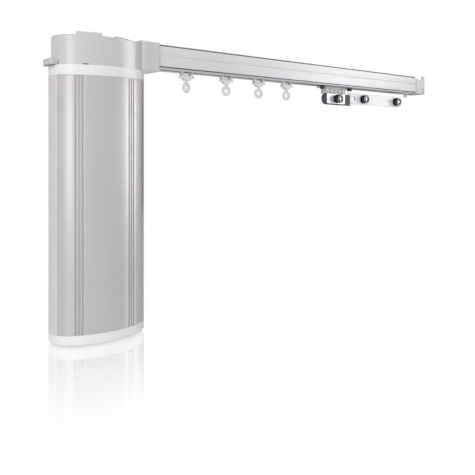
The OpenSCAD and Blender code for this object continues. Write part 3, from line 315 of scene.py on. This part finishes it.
def board(name, rgb):
    """Green solder mask over copper: the covered tracks show as a paler, slightly raised grid."""
    material, tree, place, shader = start_material(name)
    turned = add(tree, "ShaderNodeMapping", {"Vector": place, "Rotation": (0, math.pi / 2, 0)}).outputs[0]
    inputs = {"Vector": turned, "Scale": per_metre(9), "Mortar Size": 0.06, "Mortar Smooth": 0.2}
    ways = add(tree, "ShaderNodeTexBrick", inputs).outputs["Fac"]
    mask, covered = shade(rgb, 0.9), shade(rgb, 1.7)
    tree.links.new(tinted(tree, ways, mask, covered), shader.inputs["Base Color"])
    bump = add(tree, "ShaderNodeBump", {"Height": ways, "Distance": 0.05 * MM})
    tree.links.new(bump.outputs[0], shader.inputs["Normal"])
    shader.inputs["Roughness"].default_value = 0.35
    return material


def make_materials(c):
    """One finish for each material slot of the record. Grain is drawn a little coarse so that it shows."""
    # the track's grooves and lower flange and the tab's underside get bands of painted shade
    track_low, track_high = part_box("track")
    face, wall, edge, flange = 0.6 * MM, 2 * MM, 0.2 * MM, 1.3 * MM
    track_groove_shade = (track_high.y - wall, track_high.y - face, track_low.z + edge, track_high.z - edge)
    track_lip_shade = (track_low.z + edge, track_low.z + flange)
    tab_low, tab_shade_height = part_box("lock_slide")[0].z, 0.8 * MM
    tab_underside_shade = (tab_low - edge, tab_low + tab_shade_height)
    studs_low, studs_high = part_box("arm_studs")
    stud_z = (studs_low.z + studs_high.z) / 2
    stud_radius = (studs_high.z - studs_low.z) / 2
    # the wall of the arm's hole gets painted shade
    hole_to_stud, hole_radius = 19 * MM, 3.15 * MM
    arm_hole_shade = (studs_low.x + stud_radius - hole_to_stud, stud_z, hole_radius)
    # moulded: roughness, then grain, relief and edge in millimetres; plated: roughness and edge
    # drawn: metallic share, roughness and the die's way, then line, relief and edge in millimetres
    return {
        # satin ABS: soft broad highlights along the oval's corners
        "light_grey_abs": moulded("Satin ABS, light grey", c.head, 0.32, 0.5, 0.012, 0.5, coat=0.15),
        "dark_grey_abs": moulded("Satin ABS, mid grey", c.end, 0.42, 0.5, 0.012, 0.5),
        # painted shade along the tab's underside
        "grey_tab_plastic": moulded("Satin ABS, tab grey", c.tab, 0.45, 0.4, 0.012, 0.5, lip=tab_underside_shade),
        # semi-gloss ABS: clean white with one soft band of light
        "white_abs": moulded(
            "Semi-gloss ABS, white", c.white, 0.44, 0.8, 0.006, 0.6, coat=0.1, spread=0.015
        ),
        "shell_abs": moulded("Satin ABS, pale shell", c.shell, 0.42, 0.5, 0.012, 0.5, coat=0.1),
        # anodised extrusion: satin with fine lines along the die's way; the track also gets painted shade in
        # its grooves and along its lower flange
        "silver_panel": drawn(
            "Anodised panel, silver", c.panel, 0.12, 0.32, "Z", 0.7, 0.006, 0.3, spread=0.03, streak=0.012
        ),
        "anodised_aluminium": drawn(
            "Anodised aluminium, matt", c.track, 0.1, 0.46, "X", 0.6, 0.01, 0.15,
            shaded_grooves=track_groove_shade, lip=track_lip_shade,
        ),
        # nylon and acetal: waxy, without a hard highlight
        "runner_nylon": moulded("Nylon, light grey", c.runner, 0.42, 0.4, 0.01, 0.4),
        "pale_nylon": moulded("Nylon, pale", c.carrier, 0.45, 0.4, 0.01, 0.35),
        "dark_nylon": moulded("Nylon, near black", c.dark, 0.66, 0.4, 0.015, 0.5),
        "grey_nylon": moulded("Nylon, grey", linear("#8d8d90"), 0.5, 0.4, 0.012, 0.3),
        "white_acetal": moulded("Acetal, white", linear("#e6e6e4"), 0.32, 0.5, 0.006, 0.3),
        # plate: mirror-like with a dark body on the studs, paler on the sheet
        "dark_chrome": plated("Chrome, dark", linear("#3b3b3f"), 0.2, 0.2),
        "plated_sheet": plated("Nickel-plated sheet", linear("#cac7cc"), 0.55, 0.2),
        "zinc_steel": plated("Zinc-plated steel", linear("#c3c4c6"), 0.34, 0.2),
        "ground_steel": plated("Ground steel", linear("#c9c9cb"), 0.26, 0.1),
        "sintered_bronze": plated("Sintered bronze", linear("#b98d52"), 0.5, 0.1),
        "cast_zinc": plated("Cast zinc", linear("#9b9b9e"), 0.5, 0.4),
        # powder coat on steel strip: fine orange peel, with painted shade on the wall of the arm's hole
        "white_arm": moulded(
            "Powder coat, white", c.arm, 0.42, 0.9, 0.02, 0.25, coat=0.12, spread=0.02, shaded_bore=arm_hole_shade
        ),
        # rubber and dark plastic: dull black that shows only its edges
        "black_rubber": moulded("Rubber, black", linear("#17171a"), 0.62, 0.35, 0.02, 0.6),
        "belt_rubber": moulded("Belt rubber", linear("#2b2b2d"), 0.7, 0.3, 0.02, 0.2),
        "black_plastic": moulded("Moulded socket, black", linear("#1c1c1e"), 0.45, 0.3, 0.012, 0.3),
        "board_component": moulded("Moulded component, dark", linear("#2e2e33"), 0.5, 0.3, 0.012, 0.3),
        # solder mask: green with a paler grid
        "circuit_board": board("Circuit board, green", linear("#1f6b3c")),
    }


SLOT_OF = {row["node"]: row["material_slot"] for row in frame["record"]["subparts"]}
FINISH = {}


def give(piece, slot_name, body, *stands_for):
    """Gives a finished piece its material, body and slot, and hides the CAD nodes that it stands for."""
    piece.data.materials.clear()
    piece.data.materials.append(FINISH[slot_name])
    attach(piece, body)
    if stands_for:
        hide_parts(*stands_for)
    return piece


class PaintFrame(bpy.types.Operator):
    """Gives every node of the frame the finish of its material slot"""

    bl_idname = "curtain_track.paint_frame"
    bl_label = "Paint Frame"

    def execute(self, context):
        FINISH.update(make_materials(context.scene.curtain_track_colours))
        for name, node in frame["nodes"].items():
            node.data.materials.clear()
            node.data.materials.append(FINISH[SLOT_OF[name]])
        return {"FINISHED"}


# The motor's oval outline


class Oval:
    """The motor's outline: two end arcs and two long arcs that share their normals where they meet."""

    def __init__(self, half_width, half_depth, end_radius):
        self.half_width, self.end_radius = half_width, end_radius
        self.end_x = half_width - end_radius
        rise = half_depth - end_radius
        self.arc_radius = (self.end_x**2 + half_depth**2 - end_radius**2) / (2 * rise)
        self.arc_y = self.arc_radius - half_depth
        self.meet = math.atan2(self.end_x, self.arc_y)

    def normals(self, step):
        """Normal angles, from the front anticlockwise, spaced about step apart along the outline."""
        angles = []
        spans = [
            (-self.meet, self.meet, self.arc_radius),
            (self.meet, math.pi - self.meet, self.end_radius),
            (math.pi - self.meet, math.pi + self.meet, self.arc_radius),
            (math.pi + self.meet, 2 * math.pi - self.meet, self.end_radius),
        ]
        for low, high, radius in spans:
            count = max(4, round((high - low) * radius / step))
            angles += [low + (high - low) * i / count for i in range(count)]
        return angles

    def point(self, angle, inset):
        """The outline's point with that normal angle, drawn inwards by inset."""
        out = Vector((math.sin(angle), -math.cos(angle)))
        turn = (angle + math.pi) % (2 * math.pi) - math.pi
        if abs(turn) <= self.meet:
            return Vector((0, self.arc_y)) + out * (self.arc_radius - inset)
        if abs(turn) >= math.pi - self.meet:
            return Vector((0, -self.arc_y)) + out * (self.arc_radius - inset)
        return Vector((math.copysign(self.end_x, turn), 0)) + out * (self.end_radius - inset)

    def front(self, x, inset):
        """Normal angle of the outline's front at x, where it is drawn inwards by inset."""
        turn = x / (self.arc_radius - inset)
        if abs(turn) <= math.sin(self.meet):
            return math.asin(turn)
        return math.asin((x - math.copysign(self.end_x, x)) / (self.end_radius - inset))


def motor_oval(sizes):
    """The oval that the collar and the cap have, from the frame's own box."""
    low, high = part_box("motor_collar")
    return Oval((high.x - low.x) / 2, (high.y - low.y) / 2, sizes.end_radius)


def plain_mesh(name, shape):
    """A mesh from an edited shape, which is freed."""
    mesh = bpy.data.meshes.new(name)
    shape.to_mesh(mesh)
    shape.free()
    return mesh


def linked(name, data):
    """A new object with that mesh, lamp or camera in the scene."""
    piece = bpy.data.objects.new(name, data)
    bpy.context.scene.collection.objects.link(piece)
    return piece


def skin(name, rings):
    """A closed mesh over rings of points, capped at both ends."""
    shape = bmesh.new()
    rings = [[shape.verts.new(point) for point in ring] for ring in rings]
    for ring, following in zip(rings, rings[1:]):
        for i in range(len(ring)):
            j = (i + 1) % len(ring)
            shape.faces.new((ring[i], ring[j], following[j], following[i]))
    shape.faces.new(rings[0][::-1])
    shape.faces.new(rings[-1])
    bmesh.ops.recalc_face_normals(shape, faces=shape.faces)
    return plain_mesh(name, shape)


def lofted(name, oval, profile, step=1.2 * MM):
    """A closed solid from rings of the oval: profile lists (inset, height) along its section."""
    angles = oval.normals(step)
    return linked(name, skin(name, [[(*oval.point(a, inset), z) for a in angles] for inset, z in profile]))


def land_mesh(oval, inset, depth, near, far, low, high, edge=0.3 * MM):
    """A land along the oval's front edge, with its top edge softened."""
    steps = 16
    bend = edge * 0.3
    outside = [(0, low), (0, high - edge), (bend, high - bend), (edge, high)]
    section = outside + [(depth, high), (depth, low)]
    rings = []
    for i in range(steps + 1):
        angle = oval.front(near + (far - near) * i / steps, inset)
        rings.append([(*oval.point(angle, inset + back), z) for back, z in section])
    return skin("land", rings)


def block_mesh(name, low, high):
    """A plain box that cuts an opening, and is removed again."""
    shape = bmesh.new()
    bmesh.ops.create_cube(shape, size=1)
    middle, size = (Vector(low) + Vector(high)) / 2, Vector(high) - Vector(low)
    placed = Matrix.Translation(middle) @ Matrix.Diagonal((*size, 1))
    bmesh.ops.transform(shape, matrix=placed, verts=shape.verts)
    return plain_mesh(name, shape)


def drum_mesh(name, x, y, radius, low, high):
    """A plain upright drum that cuts a round opening, and is removed again."""
    shape = bmesh.new()
    depth = high - low
    bmesh.ops.create_cone(shape, cap_ends=True, segments=40, radius1=radius, radius2=radius, depth=depth)
    bmesh.ops.translate(shape, vec=(x, y, (low + high) / 2), verts=shape.verts)
    return plain_mesh(name, shape)


def evaluated(piece):
    """The piece's mesh with its modifiers applied, as its new plain mesh."""
    bpy.context.view_layer.update()
    graph = bpy.context.evaluated_depsgraph_get()
    finished = piece.evaluated_get(graph)
    mesh = bpy.data.meshes.new_from_object(finished, preserve_all_data_layers=True, depsgraph=graph)
    piece.modifiers.clear()
    old = piece.data
    piece.data = mesh
    bpy.data.meshes.remove(old)
    mesh.name = piece.name
    return piece


def cut(piece, tools, operation="DIFFERENCE"):
    """Takes the tool meshes out of the piece, or joins them to it."""
    for tool in tools:
        cutter = linked("cutter", tool)
        modifier = piece.modifiers.new("cut", "BOOLEAN")
        modifier.operation, modifier.solver, modifier.object = operation, "EXACT", cutter
        evaluated(piece)
        bpy.data.objects.remove(cutter)
        bpy.data.meshes.remove(tool)
    return piece


def smooth(piece, angle=35):
    """Smooth shading with sharp edges kept where faces meet at more than that angle."""
    piece.data.shade_smooth()
    piece.data.set_sharp_from_angle(angle=math.radians(angle))
    return piece


def round_over(z_flat, z_side, inset, radius, steps=8):
    """Section points of a quarter round from the side wall at z_side to the flat at z_flat."""
    rise = math.copysign(radius, z_flat - z_side)
    turns = [math.pi / 2 * i / steps for i in range(steps + 1)]
    return [(inset + radius * (1 - math.cos(t)), z_flat - rise + rise * math.sin(t)) for t in turns]


class DriveHead(bpy.types.Operator):
    """Builds the drive head's shell with its rounded top edge, lands, lock slot and notch"""

    bl_idname = "curtain_track.drive_head"
    bl_label = "Drive Head"

    def execute(self, context):
        sizes = context.scene.curtain_track_sizes
        oval = motor_oval(sizes)
        low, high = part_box("drive_housing")
        inset = oval.half_width - high.x
        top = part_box("ceiling_bracket")[0].z
        inner = inset + sizes.head_wall
        profile = [(inner, top - sizes.head_wall), (inner, low.z), (inset, low.z)]
        profile += round_over(top, low.z, inset, sizes.head_edge)
        piece = lofted("drive_head_shell", oval, profile)
        hair = 0.01 * MM
        seat = top - 1.5 * sizes.head_edge
        # near end, far end and rise of each land in millimetres
        lands = ((-32.2, -9.4, 2.6), (4.2, 12.4, 1))
        cut(piece, [
            land_mesh(oval, inset + hair, sizes.land_depth, near * MM, far * MM, seat, top + rise * MM)
            for near, far, rise in lands
        ], "UNION")
        lock_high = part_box("lock_slide")[1]
        gap, plate, root_in = 0.15 * MM, 2.5 * MM, 0.6 * MM
        slot_half = sizes.slot_half
        slot_top, slot_mid = lock_high.z + gap, lock_high.z - plate - gap
        slot_end = -oval.end_x - 10 * MM
        root_x = root_in - high.x + gap
        port_half, port_roof, port_floor = 10 * MM, top - 2.5 * MM, top - 13 * MM
        notch_near, notch_far, notch_top = -26.3 * MM, -21.7 * MM, low.z + 1.1 * MM
        # openings that run out of the head reach a metre beyond it
        beyond, under = 1, low.z - 1
        cut(piece, [
            block_mesh("plate_slot", (-beyond, -slot_half, slot_mid), (slot_end, slot_half, slot_top)),
            block_mesh("tab_slot", (-beyond, -slot_half, under), (root_x, slot_half, slot_mid + gap)),
            block_mesh("belt_port", (oval.end_x, -port_half, port_floor), (beyond, port_half, port_roof)),
            block_mesh("notch", (notch_near, -beyond, under), (notch_far, 0, notch_top)),
        ])
        give(smooth(piece), SLOT_OF["drive_housing"], ROOT, "drive_housing")
        return {"FINISHED"}


class BottomCap(bpy.types.Operator):
    """Builds the bottom cap with its rounded lower edge and its openings"""

    bl_idname = "curtain_track.bottom_cap"
    bl_label = "Bottom Cap"

    def execute(self, context):
        sizes = context.scene.curtain_track_sizes
        oval = motor_oval(sizes)
        low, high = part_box("bottom_cap")
        floor = low.z + sizes.cap_wall + 0.2 * MM
        edge, wall = sizes.cap_edge, sizes.cap_wall
        inner = [(edge, floor), (wall, low.z + edge), (wall, high.z)]
        profile = inner + [(0, high.z)] + round_over(low.z, high.z, 0, edge)
        piece = lofted("bottom_cap_shell", oval, profile)
        inlet_low, inlet_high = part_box("power_inlet")
        lip = 2 * MM
        button_low, button_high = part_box("setting_button")
        screws_low, screws_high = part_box("cap_screws")
        button_hole, screw_hole = 3.3 * MM, 3.1 * MM
        screw_y = (screws_low.y + screws_high.y) / 2
        screw_x = screws_high.x - (screws_high.y - screws_low.y) / 2
        under, over = low.z - 5 * MM, floor + 1 * MM
        inlet_near = (inlet_low.x + lip, inlet_low.y + lip, under)
        inlet_far = (inlet_high.x - lip, inlet_high.y - lip, over)
        tools = [
            block_mesh("inlet", inlet_near, inlet_far),
            drum_mesh("button", (button_low.x + button_high.x) / 2, 0, button_hole, under, over),
        ]
        tools += [drum_mesh("screw", x, screw_y, screw_hole, under, over) for x in (-screw_x, screw_x)]
        give(smooth(cut(piece, tools)), SLOT_OF["bottom_cap"], ROOT, "bottom_cap")
        return {"FINISHED"}


# Smooth copies of nodes whose curved faces show

CREASE = 28  # degrees between faces, from which an edge of a copy stays sharp


def merged_copy(node_name, piece_name):
    """A copy of a CAD node with its loose triangles joined into whole faces."""
    join_distance, flat_angle = 0.002 * MM, math.radians(0.4)
    shape = bmesh.new()
    shape.from_mesh(frame["nodes"][node_name].data)
    bmesh.ops.remove_doubles(shape, verts=shape.verts, dist=join_distance)
    bmesh.ops.dissolve_limit(shape, angle_limit=flat_angle, verts=shape.verts, edges=shape.edges)
    return linked(piece_name, plain_mesh(piece_name, shape))


def outer_rims(shape, oval, tolerance):
    """Sharp edges that lie on the oval's outside."""
    def outside(vert):
        end = max(abs(vert.co.x) - oval.end_x, 0)
        ends = math.hypot(end, vert.co.y) - oval.end_radius
        long = math.hypot(vert.co.x, abs(vert.co.y) + oval.arc_y) - oval.arc_radius
        return min(abs(ends), abs(long)) < tolerance

    sharp = math.radians(30)
    return [
        e for e in shape.edges
        if len(e.link_faces) == 2 and e.calc_face_angle(0) > sharp and all(outside(v) for v in e.verts)
    ]


class MotorShells(bpy.types.Operator):
    """Softens the outer edges of the collar, the panel and the rear shell, so that fine seams show"""

    bl_idname = "curtain_track.motor_shells"
    bl_label = "Motor Shells"

    def execute(self, context):
        sizes = context.scene.curtain_track_sizes
        oval = motor_oval(sizes)
        tolerance = 0.12 * MM
        for node in ("motor_collar", "front_panel", "rear_shell"):
            piece = merged_copy(node, node + "_softened")
            shape = bmesh.new()
            shape.from_mesh(piece.data)
            rims = outer_rims(shape, oval, tolerance)
            bmesh.ops.bevel(
                shape,
                geom=rims,
                offset=sizes.shell_edge,
                segments=3,
                profile=0.5,
                affect="EDGES",
                clamp_overlap=True,
            )
            shape.to_mesh(piece.data)
            shape.free()
            give(smooth(piece, CREASE), SLOT_OF[node], ROOT, node)
        return {"FINISHED"}


# Rounding of the copies' edges in millimetres
EDGES = {
    "ceiling_bracket": 0.6, "track_sleeve": 0.35, "end_housing": 0.5, "lock_slide": 0.4, "track": 0.1,
    "end_stop": 0.3, "carrier_body": 0.3, "carrier_plate": 0.4, "buffer_pads": 0.7, "arm_holder": 0.6,
    "front_plate": 0.25, "plate_stud": 0.2, "overlap_arm": 0.25, "arm_studs": 0.2, "setting_button": 0.4,
    "power_inlet": 0.25, "runner_1": 0.3, "runner_2": 0.3, "runner_3": 0.3, "runner_4": 0.3,
}


class SoftenedCopies(bpy.types.Operator):
    """Rounds the edges of the track, sleeve, carrier and runners, and evens every round face's sheen"""

    bl_idname = "curtain_track.softened_copies"
    bl_label = "Softened Copies"

    def execute(self, context):
        bodies = {n: body for body, nodes in frame["record"]["behaviour"]["bodies"].items() for n in nodes}
        built = {"drive_housing", "bottom_cap", "motor_collar", "front_panel", "rear_shell"}
        for node, body in bodies.items():
            if node in built:
                continue
            piece = merged_copy(node, node + "_softened")
            if node in EDGES:
                edge = piece.modifiers.new("edge", "BEVEL")
                edge.width, edge.segments, edge.limit_method = EDGES[node] * MM, 3, "ANGLE"
                edge.angle_limit = math.radians(40)
                evaluated(piece)
            give(smooth(piece, CREASE), SLOT_OF[node], body, node)
        return {"FINISHED"}


# Repeated details grown with Geometry Nodes


def start_growth(name, inputs):
    """A geometry tree with these named inputs, and its input sockets by name."""
    tree = bpy.data.node_groups.new(name, "GeometryNodeTree")
    tree.interface.new_socket("Geometry", in_out="OUTPUT", socket_type="NodeSocketGeometry")
    for socket, kind in (*inputs.items(), ("Centre", "Vector"), ("Material", "Material")):
        tree.interface.new_socket(socket, in_out="INPUT", socket_type="NodeSocket" + kind)
    return tree, add(tree, "NodeGroupInput").outputs


def end_growth(tree, given, geometry, rotation):
    """Turns the geometry, moves it to the Centre, makes it real and gives it the Material."""
    inputs = {"Geometry": geometry, "Translation": given["Centre"], "Rotation": rotation}
    placed = add(tree, "GeometryNodeTransform", inputs).outputs[0]
    real = add(tree, "GeometryNodeRealizeInstances", {"Geometry": placed}).outputs[0]
    inputs = {"Geometry": real, "Material": given["Material"]}
    done = add(tree, "GeometryNodeSetMaterial", inputs).outputs[0]
    add(tree, "NodeGroupOutput", {"Geometry": done})
    return tree


def ring_tree():
    """Geometry nodes that stand short round bars on a circle about the Y axis, and one in its middle."""
    tree, given = start_growth("Ring of lobes", {
        "Count": "Int",
        "Ring Radius": "Float",
        "Lobe Radius": "Float",
        "Lobe Height": "Float",
        "Rivet Radius": "Float",
    })
    ring = add(tree, "GeometryNodeMeshCircle", {"Vertices": given["Count"], "Radius": given["Ring Radius"]})
    height = given["Lobe Height"]
    inputs = {"Vertices": 12, "Radius": given["Lobe Radius"], "Depth": height}
    lobe = add(tree, "GeometryNodeMeshCylinder", inputs)
    inputs = {"Points": ring.outputs[0], "Instance": lobe.outputs[0]}
    lobes = add(tree, "GeometryNodeInstanceOnPoints", inputs)
    inputs = {"Vertices": 24, "Radius": given["Rivet Radius"], "Depth": height}
    rivet = add(tree, "GeometryNodeMeshCylinder", inputs)
    grip = add(tree, "GeometryNodeJoinGeometry", {"Geometry": lobes.outputs[0]})
    tree.links.new(rivet.outputs[0], grip.inputs["Geometry"])
    return end_growth(tree, given, grip.outputs[0], (math.pi / 2, 0, 0))


def pin_tree():
    """Geometry nodes that stand soldered pins on a grid in the plane across X."""
    tree, given = start_growth("Grid of pins", {
        "Width": "Float",
        "Height": "Float",
        "Columns": "Int",
        "Rows": "Int",
        "Pin Radius": "Float",
        "Pin Height": "Float",
    })
    sides = {"Size X": given["Width"], "Size Y": given["Height"]}
    counts = {"Vertices X": given["Columns"], "Vertices Y": given["Rows"]}
    grid = add(tree, "GeometryNodeMeshGrid", sides | counts)
    radii = {"Radius Bottom": given["Pin Radius"], "Radius Top": 0.15 * MM}
    pin = add(tree, "GeometryNodeMeshCone", {"Vertices": 8, "Depth": given["Pin Height"]} | radii)
    inputs = {"Points": grid.outputs[0], "Instance": pin.outputs[0]}
    pins = add(tree, "GeometryNodeInstanceOnPoints", inputs)
    return end_growth(tree, given, pins.outputs[0], (0, math.pi / 2, 0))


def grown(name, tree, values):
    """A plain mesh made by a geometry tree with these named inputs."""
    piece = linked(name, bpy.data.meshes.new(name))
    modifier = piece.modifiers.new("grow", "NODES")
    modifier.node_group = tree
    identifiers = {s.name: s.identifier for s in tree.interface.items_tree if s.in_out == "INPUT"}
    for key, value in values.items():
        modifier[identifiers[key]] = value
    return evaluated(piece)


class StudGrips(bpy.types.Operator):
    """Grows the lobed grips and the rivets in the cups of the round studs of the carrier and its arm"""

    bl_idname = "curtain_track.stud_grips"
    bl_label = "Stud Grips"

    def execute(self, context):
        sizes = context.scene.curtain_track_sizes
        tree = ring_tree()
        plate_low, plate_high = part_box("plate_stud")
        arm_low, arm_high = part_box("arm_studs")
        radius = (plate_high.x - plate_low.x) / 2
        places = {
            "plate_stud_grip": ((plate_low + plate_high) / 2, plate_low.y),
            "near_stud_grip": (Vector((arm_low.x + radius, 0, (arm_low.z + arm_high.z) / 2)), arm_low.y),
            "far_stud_grip": (Vector((arm_high.x - radius, 0, (arm_low.z + arm_high.z) / 2)), arm_low.y),
        }
        for name, (middle, front) in places.items():
            piece = grown(name, tree, {
                "Count": sizes.lobe_count,
                "Ring Radius": sizes.lobe_ring,
                "Lobe Radius": sizes.lobe_radius,
                "Lobe Height": sizes.lobe_height,
                "Rivet Radius": sizes.rivet_radius,
                "Centre": (middle.x, front + sizes.cup_depth - sizes.lobe_height / 2, middle.z),
                "Material": FINISH["ground_steel"],
            })
            give(smooth(piece), "ground_steel", "carrier")
        return {"FINISHED"}


class BoardPins(bpy.types.Operator):
    """Grows the soldered pins on the back of the control board"""

    bl_idname = "curtain_track.board_pins"
    bl_label = "Board Pins"

    def execute(self, context):
        sizes = context.scene.curtain_track_sizes
        low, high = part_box("control_board")
        margin = 6 * MM
        pitch = 7.5 * MM
        width, height = high.z - low.z - 2 * margin, high.y - low.y - 2 * margin
        piece = grown("board_pins", pin_tree(), {
            "Width": width,
            "Height": height,
            "Columns": round(width / pitch),
            "Rows": round(height / pitch),
            "Pin Radius": sizes.pin_radius,
            "Pin Height": sizes.pin_height,
            "Centre": (high.x, 0, (low.z + high.z) / 2),
            "Material": FINISH["zinc_steel"],
        })
        give(smooth(piece), "zinc_steel", ROOT)
        return {"FINISHED"}


# The studio


def studio_white(tree):
    """1 for rays from the camera, mirrors and clear things, which see the plain white studio."""
    path = add(tree, "ShaderNodeLightPath").outputs
    seen = calc(tree, "MAXIMUM", path["Is Camera Ray"], path["Is Glossy Ray"])
    return calc(tree, "MAXIMUM", seen, path["Is Transmission Ray"])


def fading(tree, away, near_value, far_value):
    """A number that runs from one value at the motor's foot to another well away from it."""
    near, far = 30 * MM, 240 * MM
    inputs = {"Value": away, "From Min": near, "From Max": far, "To Min": near_value, "To Max": far_value}
    return add(tree, "ShaderNodeMapRange", inputs, interpolation_type="SMOOTHSTEP").outputs[0]


def blend(tree, factor, first, second):
    """A shader between two shaders."""
    return add(tree, "ShaderNodeMixShader", {0: factor, 1: first, 2: second}).outputs[0]


def floor_material(gloss, azimuth):
    """White lacquer: a soft shadow on white, and a mirror image that fades from the motor's foot.

    It is clear from below, so that the part's underside can be looked at.
    """
    material = bpy.data.materials.new("Studio floor, white lacquer")
    material.use_nodes = True
    tree = material.node_tree
    tree.nodes.clear()
    flat = vector(tree, "MULTIPLY", add(tree, "ShaderNodeTexCoord").outputs["Object"], (1, 1, 0))
    narrowing, mirror_blur, whiteness = 0.6, 0.06, 0.985
    inputs = {"Vector": flat, "Rotation": (0, 0, -azimuth), "Scale": (narrowing, 1, 1)}
    narrowed = add(tree, "ShaderNodeMapping", inputs, vector_type="TEXTURE").outputs[0]
    away = distance(tree, narrowed)
    white = add(tree, "ShaderNodeEmission", {"Color": (1, 1, 1, 1), "Strength": 1.0}).outputs[0]
    matt = add(tree, "ShaderNodeBsdfDiffuse", {"Color": (0.9, 0.9, 0.9, 1)}).outputs[0]
    mirror = add(tree, "ShaderNodeBsdfGlossy", {"Color": (1, 1, 1, 1), "Roughness": mirror_blur}).outputs[0]
    plain = fading(tree, away, whiteness, 1)
    base = blend(tree, calc(tree, "MULTIPLY", studio_white(tree), plain), matt, white)
    sheen = add(tree, "ShaderNodeLightPath").outputs["Is Glossy Ray"]
    shine = calc(tree, "MAXIMUM", fading(tree, away, gloss, 0), calc(tree, "MULTIPLY", sheen, gloss))
    full = blend(tree, shine, base, mirror)
    clear = add(tree, "ShaderNodeBsdfTransparent").outputs[0]
    below = add(tree, "ShaderNodeNewGeometry").outputs["Backfacing"]
    add(tree, "ShaderNodeOutputMaterial", {"Surface": blend(tree, below, full, clear)})
    return material


def flag_material():
    """Black cloth: takes light away from the motor's right end."""
    material, tree, place, shader = start_material("Studio flag, black cloth")
    weave = noise(tree, place, millimetres=2, detail=2)
    thread = (0.05, 0.05, 0.05)
    tree.links.new(tinted(tree, weave, shade(thread, 0.4), shade(thread, 1)), shader.inputs["Base Color"])
    shader.inputs["Roughness"].default_value = 1
    return material


def card(name, corners, material):
    """A flat card of the stage."""
    mesh = bpy.data.meshes.new(name)
    mesh.from_pydata(corners, [], [tuple(range(len(corners)))])
    mesh.materials.append(material)
    piece = linked(name, mesh)
    return piece


def strip_light(name, place, target, width, height, watts, sheen_only=False):
    """A soft box at place that faces target. One for sheen only shows in glossy faces alone."""
    lamp = bpy.data.lights.new(name, "AREA")
    lamp.shape, lamp.size, lamp.size_y, lamp.energy = "RECTANGLE", width, height, watts
    holder = linked(name, lamp)
    holder.location = place
    holder.rotation_euler = (Vector(target) - Vector(place)).to_track_quat("-Z", "Y").to_euler()
    holder.visible_diffuse = not sheen_only


class Studio(bpy.types.Operator):
    """Sets the pale floor, the soft lights and the camera"""

    bl_idname = "curtain_track.studio"
    bl_label = "Studio"

    def execute(self, context):
        stage = context.scene.curtain_track_stage
        low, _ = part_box("bottom_cap")
        reach = 40.0
        ground = low.z - 0.5 * MM
        ends = ((-reach, -reach), (reach, -reach), (reach, reach), (-reach, reach))
        card("studio_floor", [(x, y, ground) for x, y in ends], floor_material(stage.gloss, stage.azimuth))
        # the flag stands beyond the right end; its near edge leaves the track's far end in the light
        flag_x, flag_far, flag_top = 0.95, 0.9, 0.35
        near_edge = ((-0.2, flag_top), (-0.22, 0.02), (-0.3, -0.05), (-0.28, ground))
        sides = ((flag_far, ground), (flag_far, flag_top), *near_edge)
        flag = card("studio_flag", [(flag_x, y, z) for y, z in sides], flag_material())
        flag.visible_camera = False
        motor = (0, 0, -0.14)
        strip_light("Left strip", (-0.97, -0.87, -0.05), motor, 0.8, 1.1, stage.left_power)
        right = stage.right_power
        strip_light("Right strip", (1.35, -0.66, -0.05), motor, 0.6, 1.1, right, sheen_only=True)
        strip_light("Top box", (0.2, -0.5, 1.1), (0.2, 0, 0), 1.4, 1.0, stage.top_power)
        world = bpy.data.worlds.new("White studio")
        world.use_nodes = True
        tree = world.node_tree
        tree.nodes.clear()
        seen = studio_white(tree)
        inputs = {"Value": seen, "From Min": 0, "From Max": 1, "To Min": stage.sky, "To Max": 1}
        strength = add(tree, "ShaderNodeMapRange", inputs).outputs[0]
        air = add(tree, "ShaderNodeBackground", {"Color": (1, 1, 1, 1), "Strength": strength}).outputs[0]
        add(tree, "ShaderNodeOutputWorld", {"Surface": air})
        context.scene.world = world
        lens = bpy.data.cameras.new("Photograph")
        lens.lens, lens.sensor_width, lens.sensor_fit = stage.lens, 36, "HORIZONTAL"
        lens.shift_y = stage.drop
        lens.clip_start, lens.clip_end = 0.01, 100
        camera = linked("Photograph", lens)
        camera.location = stage.eye
        camera.rotation_euler = (math.pi / 2, 0, -stage.azimuth)
        context.scene.camera = camera
        context.scene.view_settings.view_transform = "Standard"
        return {"FINISHED"}


class TrackPanel(bpy.types.Panel):
    """Lists the builders and their settings"""

    bl_idname = "VIEW3D_PT_curtain_track"
    bl_label = "Electric Curtain Track"
    bl_space_type = "VIEW_3D"
    bl_region_type = "UI"
    bl_category = "Curtain Track"

    def draw(self, context):
        for operator in OPERATORS:
            self.layout.operator(operator.bl_idname)
        for group in ("curtain_track_sizes", "curtain_track_colours", "curtain_track_stage"):
            settings = getattr(context.scene, group)
            box = self.layout.box()
            for name in settings.__annotations__:
                box.prop(settings, name)


OPERATORS = (PaintFrame, DriveHead, BottomCap, MotorShells, SoftenedCopies, StudGrips, BoardPins, Studio)
CLASSES = (TrackSizes, TrackColours, StageSettings, *OPERATORS, TrackPanel)


def register():
    for item in CLASSES:
        bpy.utils.register_class(item)
    bpy.types.Scene.curtain_track_sizes = bpy.props.PointerProperty(type=TrackSizes)
    bpy.types.Scene.curtain_track_colours = bpy.props.PointerProperty(type=TrackColours)
    bpy.types.Scene.curtain_track_stage = bpy.props.PointerProperty(type=StageSettings)


def unregister():
    del bpy.types.Scene.curtain_track_stage
    del bpy.types.Scene.curtain_track_colours
    del bpy.types.Scene.curtain_track_sizes
    for item in reversed(CLASSES):
        bpy.utils.unregister_class(item)


def main():
    register()
    bpy.ops.curtain_track.paint_frame()
    bpy.ops.curtain_track.drive_head()
    bpy.ops.curtain_track.bottom_cap()
    bpy.ops.curtain_track.motor_shells()
    bpy.ops.curtain_track.softened_copies()
    bpy.ops.curtain_track.stud_grips()
    bpy.ops.curtain_track.board_pins()
    bpy.ops.curtain_track.studio()


if __name__ == "__main__":
    main()
